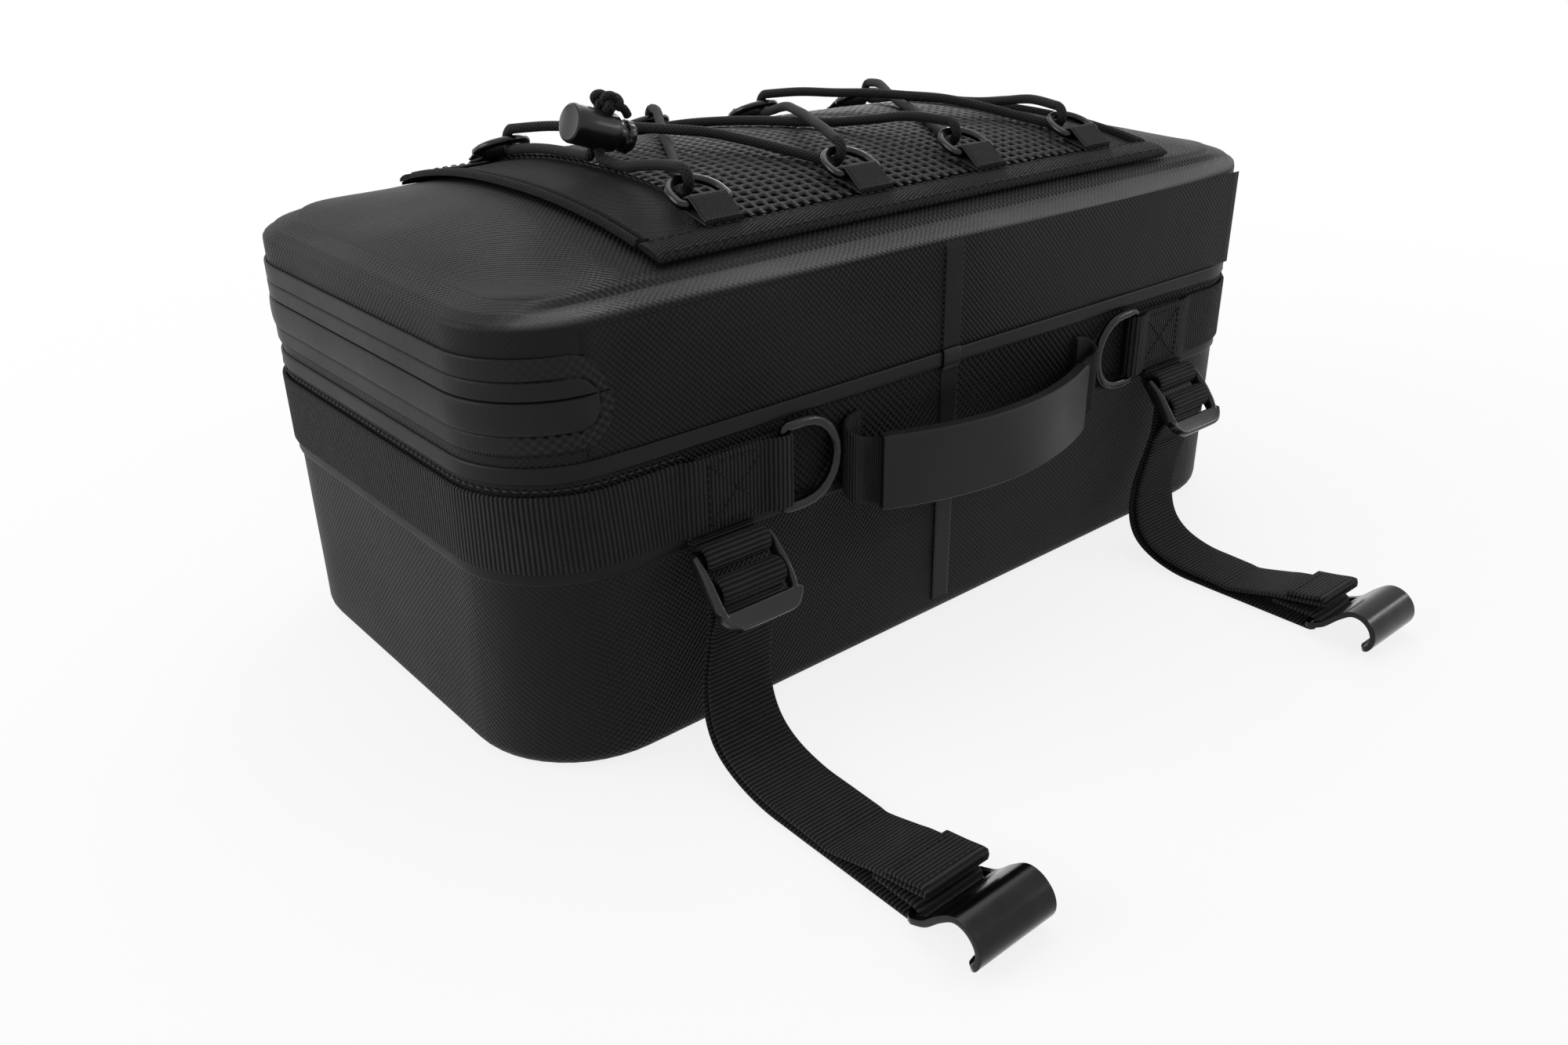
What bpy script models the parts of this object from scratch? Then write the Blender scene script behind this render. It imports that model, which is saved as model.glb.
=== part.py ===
"""Tail bag: a welded soft tub with a zipped lid, a laced top panel and four strap-and-hook sets.

Metres, +Z up. The origin is the middle of the underside, +X runs along the bag and the
handle side faces -Y. The rest pose is the bag standing closed with its straps laid out.
"""

from math import atan2, cos, pi, radians, sin

import bmesh
import bpy
from mathutils import Matrix, Vector

# Bag body
BAG_LENGTH = 0.375
BAG_WIDTH = 0.1925
RIM_HEIGHT = 0.148            # height of the lid's edge
PART_HEIGHT = 0.124           # where tub and lid meet, level with the zip
PART_GAP = 0.0006
WALL = 0.0022                 # coated fabric with its foam sheet
BOTTOM_CORNER = 0.041         # plan radius of the corners at the underside
RIM_CORNER = 0.0420           # and at the rim
TIGHT_RIM_CORNER = 0.0285     # the handle side's left one is pulled tighter
BOTTOM_FILLET = 0.006
RIM_FILLET = 0.003
RIM_BORDER = 0.011            # welded border between the rim and the dome
BORDER_RISE = 0.0035          # inner edge of the border, above the rim
DOME_RISE = 0.0148
DOME_LONG_POWER = 4.0
DOME_CROSS_POWER = 2.2
CORNER_STEPS = 6              # facets round a vertical corner
SEAT = 0.0003                 # gap between pieces that rest on each other

# Stiffener on the tub's floor
BOARD_THICKNESS = 0.0025
BOARD_INSET = 0.004

# Welded trim round the walls
TAPE_HALF = 0.0135            # height of one zip tape
TAPE_THICKNESS = 0.0012
ZIP_GAP = 0.0005              # half the gap between the two tapes
FLANGE_UNDER = 0.0175         # ledge's top edge, below the zip
FLANGE_HEIGHT = 0.0055
FLANGE_THICKNESS = 0.0015
FLANGE_TOP = PART_HEIGHT - FLANGE_UNDER
FLANGE_BOTTOM = FLANGE_TOP - FLANGE_HEIGHT

# Webbing
WEBBING = 0.025
WEB_THICK = 0.0016
BAND_UNDER = 0.0035           # gap between the ledge and the band
BAND_BOTTOM = FLANGE_BOTTOM - BAND_UNDER - WEBBING
PLY = WEB_THICK + SEAT        # one layer and the gap to the next

# D-rings at the ends of the bands
RING_BAR_X = 0.0925
RING_WIRE = 0.0014            # radius
RING_HEIGHT = 0.0284
RING_DEPTH = 0.023
BAND_FOLD_BACK = 0.033        # length of the doubled stretch behind each D-ring

# Ladder locks and the tabs that carry them
LOCK_X = 0.117
LOCK_TILT = radians(42)
LOCK_OUT = 0.00725            # top bar, out from the wall
LOCK_DROP = 0.006             # top bar, below the band
LOCK_HEIGHT = BAND_BOTTOM - LOCK_DROP
LOCK_PLATE = 0.0032
LOCK_BAR = 0.0024
LOCK_RAIL = 0.0036
LOCK_SLOT = 0.0084            # between the top bar and the middle bar
LOCK_MIDDLE_BAR = 0.0028
LOCK_STRAP_SLOT = 0.0058
LOCK_THUMB_BAR = 0.0088
SLOT_SIDE_GAP = 0.0004
BAR_WRAP = 0.0032             # radius of a webbing's middle line round a bar

# Straps and hooks
FRONT_RUN = {"left": 0.11025, "right": 0.1010}    # hook bar, out from the wall
BACK_RUN = {"left": 0.11025, "right": 0.11025}
STRAP_BED = 0.0004            # underside of the strap above the ground
HEM_LENGTH = 0.0145
HEM_OUT = 0.0035              # folded end of the tail, out from the hook's bar
HEM_LIFT = 0.0030             # by which the folded end stands up
RETURN_LENGTH = 0.0155
HOOK_BAR_WRAP = 0.0027
HOOK_WIDTH = 0.030
HOOK_SHEET = 0.002
HOOK_BAR = 0.0026
HOOK_SLOT = 0.0047
FRONT_LEAN = {"left": -0.0105, "right": -0.0245}
BACK_LEAN = {"left": 0.009, "right": -0.009}

# Carrying handle
GRIP_LENGTH = 0.107
GRIP_HEIGHT = 0.0272
GRIP_WALL = 0.0016
HANDLE_END_X = 0.0665
HANDLE_BOW = 0.0205           # middle of the grip, out from the wall
GRIP_ABOVE = 0.002            # middle of the grip, above the band's lower edge
HANDLE_RISE = 0.009           # from the grip to the ends of the webbing
HANDLE_HEIGHT = BAND_BOTTOM + GRIP_ABOVE
HANDLE_END_HEIGHT = HANDLE_HEIGHT + HANDLE_RISE
HANDLE_CORE = 0.0024
HANDLE_END_OUT = SEAT + HANDLE_CORE / 2

# Zip sliders
SLIDER_LENGTH = 0.012
SLIDER_HEIGHT = 0.009
SLIDER_DEPTH = 0.004
SLIDER_APART = 0.018          # middle to middle
PULL_WIDTH = 0.008
PULL_LENGTH = 0.025
PULL_THICKNESS = 0.0018

# Top panel
PANEL_HALF_X = 0.125
PANEL_INSET = 0.00225         # panel's long edge, in from the welded border
PANEL_HALF_Y = BAG_WIDTH / 2 - RIM_BORDER - PANEL_INSET
PANEL_THICKNESS = 0.0012
PANEL_GAP = 0.0005
MESH_HALF_X = 0.094
MESH_INSET = 0.010            # net's edge under the bindings
MESH_HALF_Y = PANEL_HALF_Y - MESH_INSET
BINDING_WIDTH = 0.011
BINDING_OVERHANG = 0.0015
BINDING_THICKNESS = 0.0020
MESH_THICKNESS = 0.0012
PIPING_WIDTH = 0.006

# Lacing rings, their tabs and the elastic cord
LACE_RING_X = (-0.0930, -0.0280, 0.0300, 0.0925)
LACE_INSET = 0.0175           # rings' straight bar, in from the panel's edge
LACE_BAR_Y = PANEL_HALF_Y - LACE_INSET
LACE_WIRE = 0.0015            # radius
LACE_TAB = 0.015
LACE_TAB_THICK = 0.001
LACE_RING_DEPTH = 0.0125
LACE_GAP = 0.0002
CORD_RADIUS = 0.0018

# Cord lock
STOP_ABOVE = 0.0131           # cord hole, above the top of the dome
STOP_CENTRE = Vector((-0.0920, -0.006, RIM_HEIGHT + BORDER_RISE + DOME_RISE + STOP_ABOVE))
STOP_TILT = radians(18)
STOP_RADIUS = 0.0066
STOP_BORE = 0.0050
STOP_LEFT = 0.0125            # closed end, from the cord hole
STOP_RIGHT = 0.0055           # open end
STOP_END_WALL = 0.0022
STOP_TRAVEL = 0.003
PLUNGER_RADIUS = 0.0047
PLUNGER_HEAD_RADIUS = 0.0056
PLUNGER_HEAD = 0.0034
SPRING_WIRE = 0.00035
SPRING_RADIUS = 0.0032
SPRING_TURNS = 4

HALF_LENGTH = BAG_LENGTH / 2
HALF_WIDTH = BAG_WIDTH / 2
PANEL_TOP = PANEL_GAP + PANEL_THICKNESS
MESH_TOP = PANEL_TOP + SEAT + MESH_THICKNESS

for leftover in list(bpy.data.objects):
    bpy.data.objects.remove(leftover, do_unlink=True)

parts = bpy.data.collections.new("tail_bag")
bpy.context.scene.collection.children.link(parts)
cutters = bpy.data.collections.new("cutters")
bpy.context.scene.collection.children.link(cutters)


def new_material(name, colour, roughness, metallic=0.0):
    material = bpy.data.materials.new(name)
    material.use_nodes = True
    shader = material.node_tree.nodes["Principled BSDF"]
    shader.inputs["Base Color"].default_value = (*colour, 1.0)
    shader.inputs["Roughness"].default_value = roughness
    shader.inputs["Metallic"].default_value = metallic
    return material


MATERIALS = {
    "shell": new_material("coated_fabric", (0.020, 0.020, 0.021), 0.55),
    "trim": new_material("welded_trim", (0.016, 0.016, 0.017), 0.40),
    "board": new_material("stiffener", (0.030, 0.030, 0.032), 0.60),
    "webbing": new_material("webbing", (0.012, 0.012, 0.013), 0.85),
    "metal": new_material("black_metal", (0.015, 0.015, 0.016), 0.35, 0.8),
    "plastic": new_material("moulded_plastic", (0.014, 0.014, 0.015), 0.40),
    "grip": new_material("rubber_grip", (0.018, 0.018, 0.019), 0.50),
    "panel": new_material("panel_fabric", (0.014, 0.014, 0.015), 0.80),
    "mesh": new_material("pocket_mesh", (0.013, 0.013, 0.014), 0.70),
    "cord": new_material("elastic_cord", (0.013, 0.013, 0.014), 0.70),
    "steel": new_material("spring_steel", (0.45, 0.45, 0.46), 0.30, 1.0),
}


class Pivot:
    """An empty on a joint's axis; the pieces that move about it hang from it."""

    def __init__(self, name, place, parent=None):
        self.place = Vector(place)
        self.empty = bpy.data.objects.new(name, None)
        self.empty.empty_display_size = 0.01
        parts.objects.link(self.empty)
        self.empty.location = self.place
        if parent:
            self.empty.parent = parent.empty
            self.empty.location = self.place - parent.place


def add(obj, finish, pivot=None, smooth=40):
    """Links a world-placed object, gives it its finish and hangs it from its pivot."""
    parts.objects.link(obj)
    obj.data.materials.append(MATERIALS[finish])
    if pivot:
        obj.data.transform(Matrix.Translation(-pivot.place))
        obj.parent = pivot.empty
    if obj.type == "MESH" and smooth:
        obj.data.shade_smooth()
        obj.data.set_sharp_from_angle(angle=radians(smooth))
    return obj


def mesh_object(name, bm):
    mesh = bpy.data.meshes.new(name)
    bm.to_mesh(mesh)
    bm.free()
    return bpy.data.objects.new(name, mesh)


def lofted(name, rows, cyclic=False, cap_start=False, cap_end=False):
    """Joins rows of points with quads; every row holds as many points as the others."""
    bm = bmesh.new()
    rings = [[bm.verts.new(point) for point in row] for row in rows]
    count = len(rings[0])
    for low, high in zip(rings, rings[1:]):
        for j in range(count if cyclic else count - 1):
            k = (j + 1) % count
            bm.faces.new((low[j], low[k], high[k], high[j]))
    if cap_start:
        bm.faces.new(list(reversed(rings[0])))
    if cap_end:
        bm.faces.new(rings[-1])
    return mesh_object(name, bm)


def thicken(obj, thickness, offset):
    modifier = obj.modifiers.new("thickness", "SOLIDIFY")
    modifier.thickness = thickness
    modifier.offset = offset
    modifier.use_even_offset = True
    return obj


def soften(obj, width, segments=1, angle=40):
    modifier = obj.modifiers.new("soft_edges", "BEVEL")
    modifier.width = width
    modifier.segments = segments
    modifier.limit_method = "ANGLE"
    modifier.angle_limit = radians(angle)
    return obj


def block(name, size, place, turn=None):
    """A box of the given size, centred at place."""
    bm = bmesh.new()
    bmesh.ops.create_cube(bm, size=1.0)
    bmesh.ops.scale(bm, vec=size, verts=bm.verts)
    matrix = Matrix.Translation(place) @ (turn.to_4x4() if turn else Matrix())
    bmesh.ops.transform(bm, matrix=matrix, verts=bm.verts)
    return mesh_object(name, bm)


def cut(obj, tool, operation="DIFFERENCE"):
    cutters.objects.link(tool)
    tool.hide_render = True
    tool.display_type = "WIRE"
    modifier = obj.modifiers.new("cut", "BOOLEAN")
    modifier.operation = operation
    modifier.object = tool
    modifier.solver = "EXACT"
    return obj


def tube(name, points, radius, resolution=2, cyclic=False, swell=None):
    """A round tube along points; swell gives each point's share of the radius."""
    curve = bpy.data.curves.new(name, "CURVE")
    curve.dimensions = "3D"
    curve.bevel_depth = radius
    curve.bevel_resolution = resolution
    curve.use_fill_caps = True
    spline = curve.splines.new("POLY")
    spline.points.add(len(points) - 1)
    for index, point in enumerate(points):
        spline.points[index].co = (*point, 1.0)
        if swell:
            spline.points[index].radius = swell[index]
    spline.use_cyclic_u = cyclic
    return bpy.data.objects.new(name, curve)


def solid_from_curve(name, curve):
    """The closed mesh of a filled, extruded flat outline."""
    flat = bpy.data.objects.new(name + "_outline", curve)
    cutters.objects.link(flat)
    bpy.context.view_layer.update()
    depsgraph = bpy.context.evaluated_depsgraph_get()
    mesh = bpy.data.meshes.new_from_object(flat.evaluated_get(depsgraph))
    bpy.data.objects.remove(flat, do_unlink=True)
    bm = bmesh.new()
    bm.from_mesh(mesh)
    bmesh.ops.remove_doubles(bm, verts=bm.verts, dist=0.00001)
    bmesh.ops.recalc_face_normals(bm, faces=bm.faces)
    bm.to_mesh(mesh)
    bm.free()
    mesh.name = name
    return bpy.data.objects.new(name, mesh)


def smooth_route(points, step):
    """Even points along a Catmull-Rom curve through the given ones."""
    points = [Vector(p) for p in points]
    dense = []
    last = len(points) - 1
    for i in range(last):
        before = points[max(i - 1, 0)]
        after = points[min(i + 2, last)]
        a, b = points[i], points[i + 1]
        for k in range(12):
            t = k / 12
            dense.append(0.5 * (2 * a + (b - before) * t
                                + (2 * before - 5 * a + 4 * b - after) * t ** 2
                                + (3 * a - before - 3 * b + after) * t ** 3))
    dense.append(points[-1])
    length = sum((b - a).length for a, b in zip(dense, dense[1:]))
    count = max(2, round(length / step))
    spaced = [dense[0]]
    run, target = 0.0, length / count
    for a, b in zip(dense, dense[1:]):
        piece = (b - a).length
        while run + piece >= target * len(spaced) and len(spaced) < count:
            spaced.append(a.lerp(b, (target * len(spaced) - run) / piece))
        run += piece
    spaced.append(dense[-1])
    return spaced


# Shape of the bag's walls ------------------------------------------------------------

def corner_radius(side, face, z):
    """Plan radius of a corner, which changes from the underside to the rim."""
    rim = TIGHT_RIM_CORNER if side < 0 and face < 0 else RIM_CORNER
    return BOTTOM_CORNER + (rim - BOTTOM_CORNER) * min(z / RIM_HEIGHT, 1.0)


def corner(side, face, z, out, steps, inset=0.0):
    """Arc of one vertical corner, from the long face round to the end face."""
    radius = max(corner_radius(side, face, z) - inset, 0.004)
    centre_x = side * (HALF_LENGTH - inset - radius)
    centre_y = face * (HALF_WIDTH - inset - radius)
    reach = radius + out
    return [(centre_x + side * reach * sin(pi / 2 * k / steps),
             centre_y + face * reach * cos(pi / 2 * k / steps), z)
            for k in range(steps + 1)]


def outline(z, out=0.0, inset=0.0, steps=CORNER_STEPS, long_cuts=0, end_cuts=0):
    """Closed plan outline at height z, anticlockwise from the right end's front corner."""
    def run(start, end, cuts):
        return [Vector(start).lerp(Vector(end), (k + 1) / (cuts + 1)) for k in range(cuts)]

    front_right = corner(1, -1, z, out, steps, inset)
    back_right = list(reversed(corner(1, 1, z, out, steps, inset)))
    back_left = corner(-1, 1, z, out, steps, inset)
    front_left = list(reversed(corner(-1, -1, z, out, steps, inset)))
    points = (front_right + run(front_right[-1], back_right[0], end_cuts)
              + back_right + run(back_right[-1], back_left[0], long_cuts)
              + back_left + run(back_left[-1], front_left[0], end_cuts)
              + front_left + run(front_left[-1], front_right[0], long_cuts))
    return [tuple(p) for p in points]


def end_run(side, z, out, steps=CORNER_STEPS):
    """Open path round one end of the bag, from its front corner to its back corner."""
    return corner(side, -1, z, out, steps) + list(reversed(corner(side, 1, z, out, steps)))


def dome(x, y):
    """Height of the lid's top surface."""
    half_x = HALF_LENGTH - RIM_BORDER
    half_y = HALF_WIDTH - RIM_BORDER
    along = 1 - min(abs(x) / half_x, 1.0) ** DOME_LONG_POWER
    across = 1 - min(abs(y) / half_y, 1.0) ** DOME_CROSS_POWER
    return RIM_HEIGHT + BORDER_RISE + DOME_RISE * along * across


def fillet(start_z, radius, steps, rising):
    """Rings that round the walls into the underside (rising) or into the top."""
    rows = []
    for k in range(steps + 1):
        angle = pi / 2 * k / steps
        if rising:
            rows.append((start_z + radius * (1 - cos(angle)), radius * (1 - sin(angle))))
        else:
            rows.append((start_z + radius * sin(angle), radius * (1 - cos(angle))))
    return rows


# Tub and lid -------------------------------------------------------------------------

def make_tub():
    rows = [outline(z, inset=inset) for z, inset in fillet(0.0, BOTTOM_FILLET, 3, True)]
    rows += [outline(z) for z in (FLANGE_BOTTOM, PART_HEIGHT - PART_GAP / 2)]
    shell = lofted("body_shell", rows, cyclic=True, cap_start=True)
    add(thicken(shell, WALL, -1.0), "shell", smooth=30)

    inset = WALL + BOARD_INSET
    low = WALL + SEAT
    rows = [outline(z, inset=inset + BOTTOM_FILLET / 2) for z in (low, low + BOARD_THICKNESS)]
    board = lofted("base_board", [[(x, y, z) for x, y, _ in row] for row, z in
                                  zip(rows, (low, low + BOARD_THICKNESS))],
                   cyclic=True, cap_start=True, cap_end=True)
    add(board, "board")


def make_lid(pivot):
    cuts = {"long_cuts": 9, "end_cuts": 4}
    rows = [outline(PART_HEIGHT + PART_GAP / 2, **cuts)]
    rows += [outline(z, inset=inset, **cuts)
             for z, inset in fillet(RIM_HEIGHT - RIM_FILLET, RIM_FILLET, 2, False)]
    for share in (0.0, 0.0821, 0.1877, 0.3167, 0.4809, 0.6686, 0.9326):
        inset = RIM_BORDER + (HALF_WIDTH - RIM_BORDER) * share
        rows.append([(x, y, dome(x, y)) for x, y, _ in outline(RIM_HEIGHT, inset=inset, **cuts)])
    shell = lofted("lid_shell", rows, cyclic=True, cap_end=True)
    add(thicken(shell, WALL, -1.0), "shell", pivot, smooth=30)


# Welded trim and zip -------------------------------------------------------------------

def make_flange():
    out = SEAT + FLANGE_THICKNESS / 2
    rows = [outline(z, out) for z in (FLANGE_BOTTOM, FLANGE_TOP)]
    add(thicken(lofted("weld_flange", rows, cyclic=True), FLANGE_THICKNESS, 0.0), "trim")


def zip_path(z):
    """From the handle side's left corner round the ends and the back to its right corner."""
    out = SEAT + TAPE_THICKNESS / 2
    left = end_run(-1, z, out)
    right = list(reversed(end_run(1, z, out)))
    return left + right


def make_zip(lid):
    low = (PART_HEIGHT - TAPE_HALF, PART_HEIGHT - ZIP_GAP)
    high = (PART_HEIGHT + ZIP_GAP, PART_HEIGHT + TAPE_HALF)
    for name, span, pivot in (("zip_tape_lower", low, None), ("zip_tape_upper", high, lid)):
        tape = lofted(name, [zip_path(z) for z in span])
        add(thicken(tape, TAPE_THICKNESS, 0.0), "trim", pivot)


def make_slider(side):
    name = "left" if side < 0 else "right"
    wall = HALF_WIDTH + SEAT + TAPE_THICKNESS
    middle_x = side * SLIDER_APART / 2
    near = wall + SEAT
    pivot = Pivot(f"slider_{name}_axis", (middle_x, near + SLIDER_DEPTH / 2, PART_HEIGHT))
    slider = block(f"zip_slider_{name}", (SLIDER_LENGTH, SLIDER_DEPTH, SLIDER_HEIGHT),
                   pivot.place)
    add(soften(slider, 0.0012, 2), "metal", pivot)

    hinge_y = near + SLIDER_DEPTH + SEAT + PULL_THICKNESS / 2
    swing = Pivot(f"pull_{name}_axis", (middle_x, hinge_y, PART_HEIGHT + 0.001), pivot)
    pull = block(f"zip_pull_{name}", (PULL_WIDTH, PULL_THICKNESS, PULL_LENGTH),
                 swing.place + Vector((0, 0, (PULL_THICKNESS - PULL_LENGTH) / 2)))
    add(soften(pull, 0.0006), "webbing", swing)


# Webbing bands and D-rings ---------------------------------------------------------------

RING_OUT = SEAT + WEB_THICK + SEAT + RING_WIRE      # middle of a D-ring's wire, off the wall
RING_WRAP = RING_WIRE + SEAT + WEB_THICK / 2        # radius of the band round the bar


def ring_loop(side, face, z):
    """The end of a band: under the bar, round it and back along the wall."""
    under = SEAT + WEB_THICK / 2
    over = under + PLY
    fold_end = RING_BAR_X + BAND_FOLD_BACK
    route = [(fold_end, under), (RING_BAR_X + 0.004, under)]
    for k in range(7):
        angle = pi * k / 6
        route.append((RING_BAR_X - RING_WRAP * sin(angle), RING_OUT - RING_WRAP * cos(angle)))
    route += [(RING_BAR_X + 0.0045, over + 0.0022), (RING_BAR_X + 0.009, over),
              (fold_end, over), (fold_end + 0.007, under)]
    return [(side * x, face * (HALF_WIDTH + out), z) for x, out in route]


def make_band(side):
    name = "left" if side < 0 else "right"
    rows = []
    for z in (BAND_BOTTOM, BAND_BOTTOM + WEBBING):
        wall = end_run(side, z, SEAT + WEB_THICK / 2)
        rows.append(ring_loop(side, -1, z) + wall + list(reversed(ring_loop(side, 1, z))))
    add(thicken(lofted(f"band_{name}", rows), WEB_THICK, 0.0), "webbing")


def make_d_ring(side, face):
    name = ("front" if face < 0 else "back") + ("_left" if side < 0 else "_right")
    middle_z = BAND_BOTTOM + WEBBING / 2
    y = face * (HALF_WIDTH + RING_OUT)
    half = RING_HEIGHT / 2
    straight = RING_DEPTH - half
    points = [(RING_BAR_X, half - 0.0012), (RING_BAR_X, 0.0), (RING_BAR_X, 0.0012 - half),
              (RING_BAR_X - 0.0012, -half), (RING_BAR_X - straight, -half)]
    for k in range(1, 8):
        angle = pi * k / 8
        points.append((RING_BAR_X - straight - half * sin(angle), -half * cos(angle)))
    points += [(RING_BAR_X - straight, half), (RING_BAR_X - 0.0012, half)]
    pivot = Pivot(f"d_ring_{name}_axis", (side * RING_BAR_X, y, middle_z))
    ring = tube(f"d_ring_{name}", [(side * x, y, middle_z + z) for x, z in points],
                RING_WIRE, cyclic=True)
    add(ring, "metal", pivot)


# Ladder locks, tabs, straps and hooks ------------------------------------------------------

MIDDLE_BAR = LOCK_BAR / 2 + LOCK_SLOT + LOCK_MIDDLE_BAR / 2
THUMB_START = MIDDLE_BAR + LOCK_MIDDLE_BAR / 2 + LOCK_STRAP_SLOT
THUMB_END = THUMB_START + LOCK_THUMB_BAR


def lock_point(along, proud):
    """(out, height) of a point in the lock's own frame: down its length, and off its face."""
    bar_out = HALF_WIDTH + LOCK_OUT
    return (bar_out + along * sin(LOCK_TILT) + proud * cos(LOCK_TILT),
            LOCK_HEIGHT - along * cos(LOCK_TILT) + proud * sin(LOCK_TILT))


def ribbon(name, route, face, width, middle_x, lean=0.0, lean_from=0.0, lean_to=1.0):
    """A strap of the given width along (out, height) points; lean shifts its lower end."""
    rows = [[], []]
    for out, z in route:
        share = min(max((lean_from - z) / (lean_from - lean_to), 0.0), 1.0)
        share = share * share * (3 - 2 * share)
        for row, edge in zip(rows, (-width / 2, width / 2)):
            row.append((middle_x + lean * share + edge, face * out, z))
    return lofted(name, rows)


def make_tab(name, side, face):
    centre = lock_point(0.0, 0.0)
    top = BAND_BOTTOM - SEAT
    inner = HALF_WIDTH + SEAT + WEB_THICK / 2
    route = [(inner, top), (inner + 0.0003, top - 0.0035), (inner + 0.0014, top - 0.0060)]
    for k in range(7):
        angle = radians(220 + 235 * k / 6)
        route.append((centre[0] + BAR_WRAP * cos(angle), centre[1] + BAR_WRAP * sin(angle)))
    route += [(inner + PLY + 0.0003, top - 0.0034), (inner + PLY, top - 0.0006)]
    tab = ribbon(f"tab_{name}", route, face, WEBBING, side * LOCK_X)
    add(thicken(tab, WEB_THICK, 0.0), "webbing")


def make_lock(name, side, face, pivot):
    inner_half = WEBBING / 2 + SLOT_SIDE_GAP
    outer_half = inner_half + LOCK_RAIL
    curve = bpy.data.curves.new(f"ladder_lock_{name}", "CURVE")
    curve.dimensions = "2D"
    curve.fill_mode = "BOTH"
    curve.extrude = LOCK_PLATE / 2
    chamfer = 0.0035
    start, end = -LOCK_BAR / 2, THUMB_END
    outer = [(-outer_half, start), (outer_half, start), (outer_half, end - chamfer),
             (outer_half - chamfer, end), (chamfer - outer_half, end),
             (-outer_half, end - chamfer)]
    tab_slot = (LOCK_BAR / 2, MIDDLE_BAR - LOCK_MIDDLE_BAR / 2)
    strap_slot = (MIDDLE_BAR + LOCK_MIDDLE_BAR / 2, THUMB_START)
    loops = [outer] + [[(-inner_half, low), (inner_half, low), (inner_half, high),
                        (-inner_half, high)] for low, high in (tab_slot, strap_slot)]
    for loop in loops:
        spline = curve.splines.new("POLY")
        spline.points.add(len(loop) - 1)
        for index, (x, along) in enumerate(loop):
            spline.points[index].co = (x, along, 0.0, 1.0)
        spline.use_cyclic_u = True
    down = Vector((0, face * sin(LOCK_TILT), -cos(LOCK_TILT)))
    across = Vector((1, 0, 0))
    turn = Matrix((across, down, across.cross(down))).transposed()
    lock = solid_from_curve(f"ladder_lock_{name}", curve)
    lock.data.transform(Matrix.Translation(pivot.place) @ turn.to_4x4())
    return lock


def strap_route(run):
    """Middle line of a strap, from its hemmed tail up to the lock and down to the hook."""
    bed = STRAP_BED + WEB_THICK / 2
    start = lock_point(MIDDLE_BAR - BAR_WRAP, -0.0030)
    reach = HALF_WIDTH + run
    sag = [(0.09478, 0.72180), (0.09660, 0.57143), (0.11565, 0.41353), (0.16100, 0.27068),
           (0.22902, 0.15038), (0.31973, 0.06767)]
    load = [(start[0], start[1])]
    load += [(HALF_WIDTH + run * out, LOCK_HEIGHT * up) for out, up in sag]
    load += [(HALF_WIDTH + run * 0.42857, bed + 0.0004)]
    load += [(HALF_WIDTH + run * out, bed) for out in (0.54195, 0.75964)]
    load += [(reach - 0.002, bed)]
    load = [Vector((out, z)) for out, z in smooth_2d(load, run * 0.05442)]
    tail = []
    for index, point in enumerate(load):
        before = load[max(index - 1, 0)]
        after = load[min(index + 1, len(load) - 1)]
        direction = (after - before).normalized()
        tail.append(point + PLY * Vector((-direction.y, direction.x)))
    tail = [p for p in tail if p.y < LOCK_HEIGHT - 0.021 and p.x < reach - 0.032]

    hook_z = bed + HOOK_BAR_WRAP
    back_z = hook_z + HOOK_BAR_WRAP
    hem_z = back_z + PLY
    hem_out = reach + HEM_OUT
    hem_start = hem_z + HEM_LIFT * (1 - HEM_LENGTH / (RETURN_LENGTH + HEM_OUT))
    hem_end = hem_z + HEM_LIFT
    hem = [(hem_out - HEM_LENGTH, hem_start + PLY), (hem_out - PLY / 2, hem_end + PLY),
           (hem_out, hem_end + PLY / 2), (hem_out - PLY / 2, hem_end),
           (reach - RETURN_LENGTH, hem_z), (reach - RETURN_LENGTH - 0.006, hem_z - 0.0016)]
    wrap = []
    for k in range(9):
        angle = radians(-25 + 225 * k / 8)
        wrap.append(lock_point(MIDDLE_BAR + BAR_WRAP * cos(angle), BAR_WRAP * sin(angle)))
    eye = [(reach + HOOK_BAR_WRAP * sin(pi * k / 6), hook_z - HOOK_BAR_WRAP * cos(pi * k / 6))
           for k in range(7)]
    route = hem + [tuple(p) for p in reversed(tail)]
    route += [lock_point(THUMB_START - 0.0020, -0.0034)] + wrap + [tuple(p) for p in load]
    return route + eye + [(reach - RETURN_LENGTH, back_z)]


def smooth_2d(points, step):
    return [(p.x, p.y) for p in smooth_route([(a, b, 0) for a, b in points], step)]


def hook_route(reach):
    """Middle line of a hook's sheet, from its bar inside the strap's eye to its lip."""
    low = STRAP_BED + WEB_THICK / 2 + HOOK_BAR_WRAP
    points = [(reach + HOOK_BAR / 2, low), (reach + 0.0062, low + 0.0024), (reach + 0.0112, low + 0.0074),
              (reach + 0.0158, low + 0.0107), (reach + 0.0203, low + 0.0104),
              (reach + 0.0238, low + 0.0075), (reach + 0.0250, low + 0.0035),
              (reach + 0.0236, low - 0.0002), (reach + 0.0205, low - 0.0018)]
    return [(reach - HOOK_BAR / 2, low)] + smooth_2d(points, 0.0032)


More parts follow.
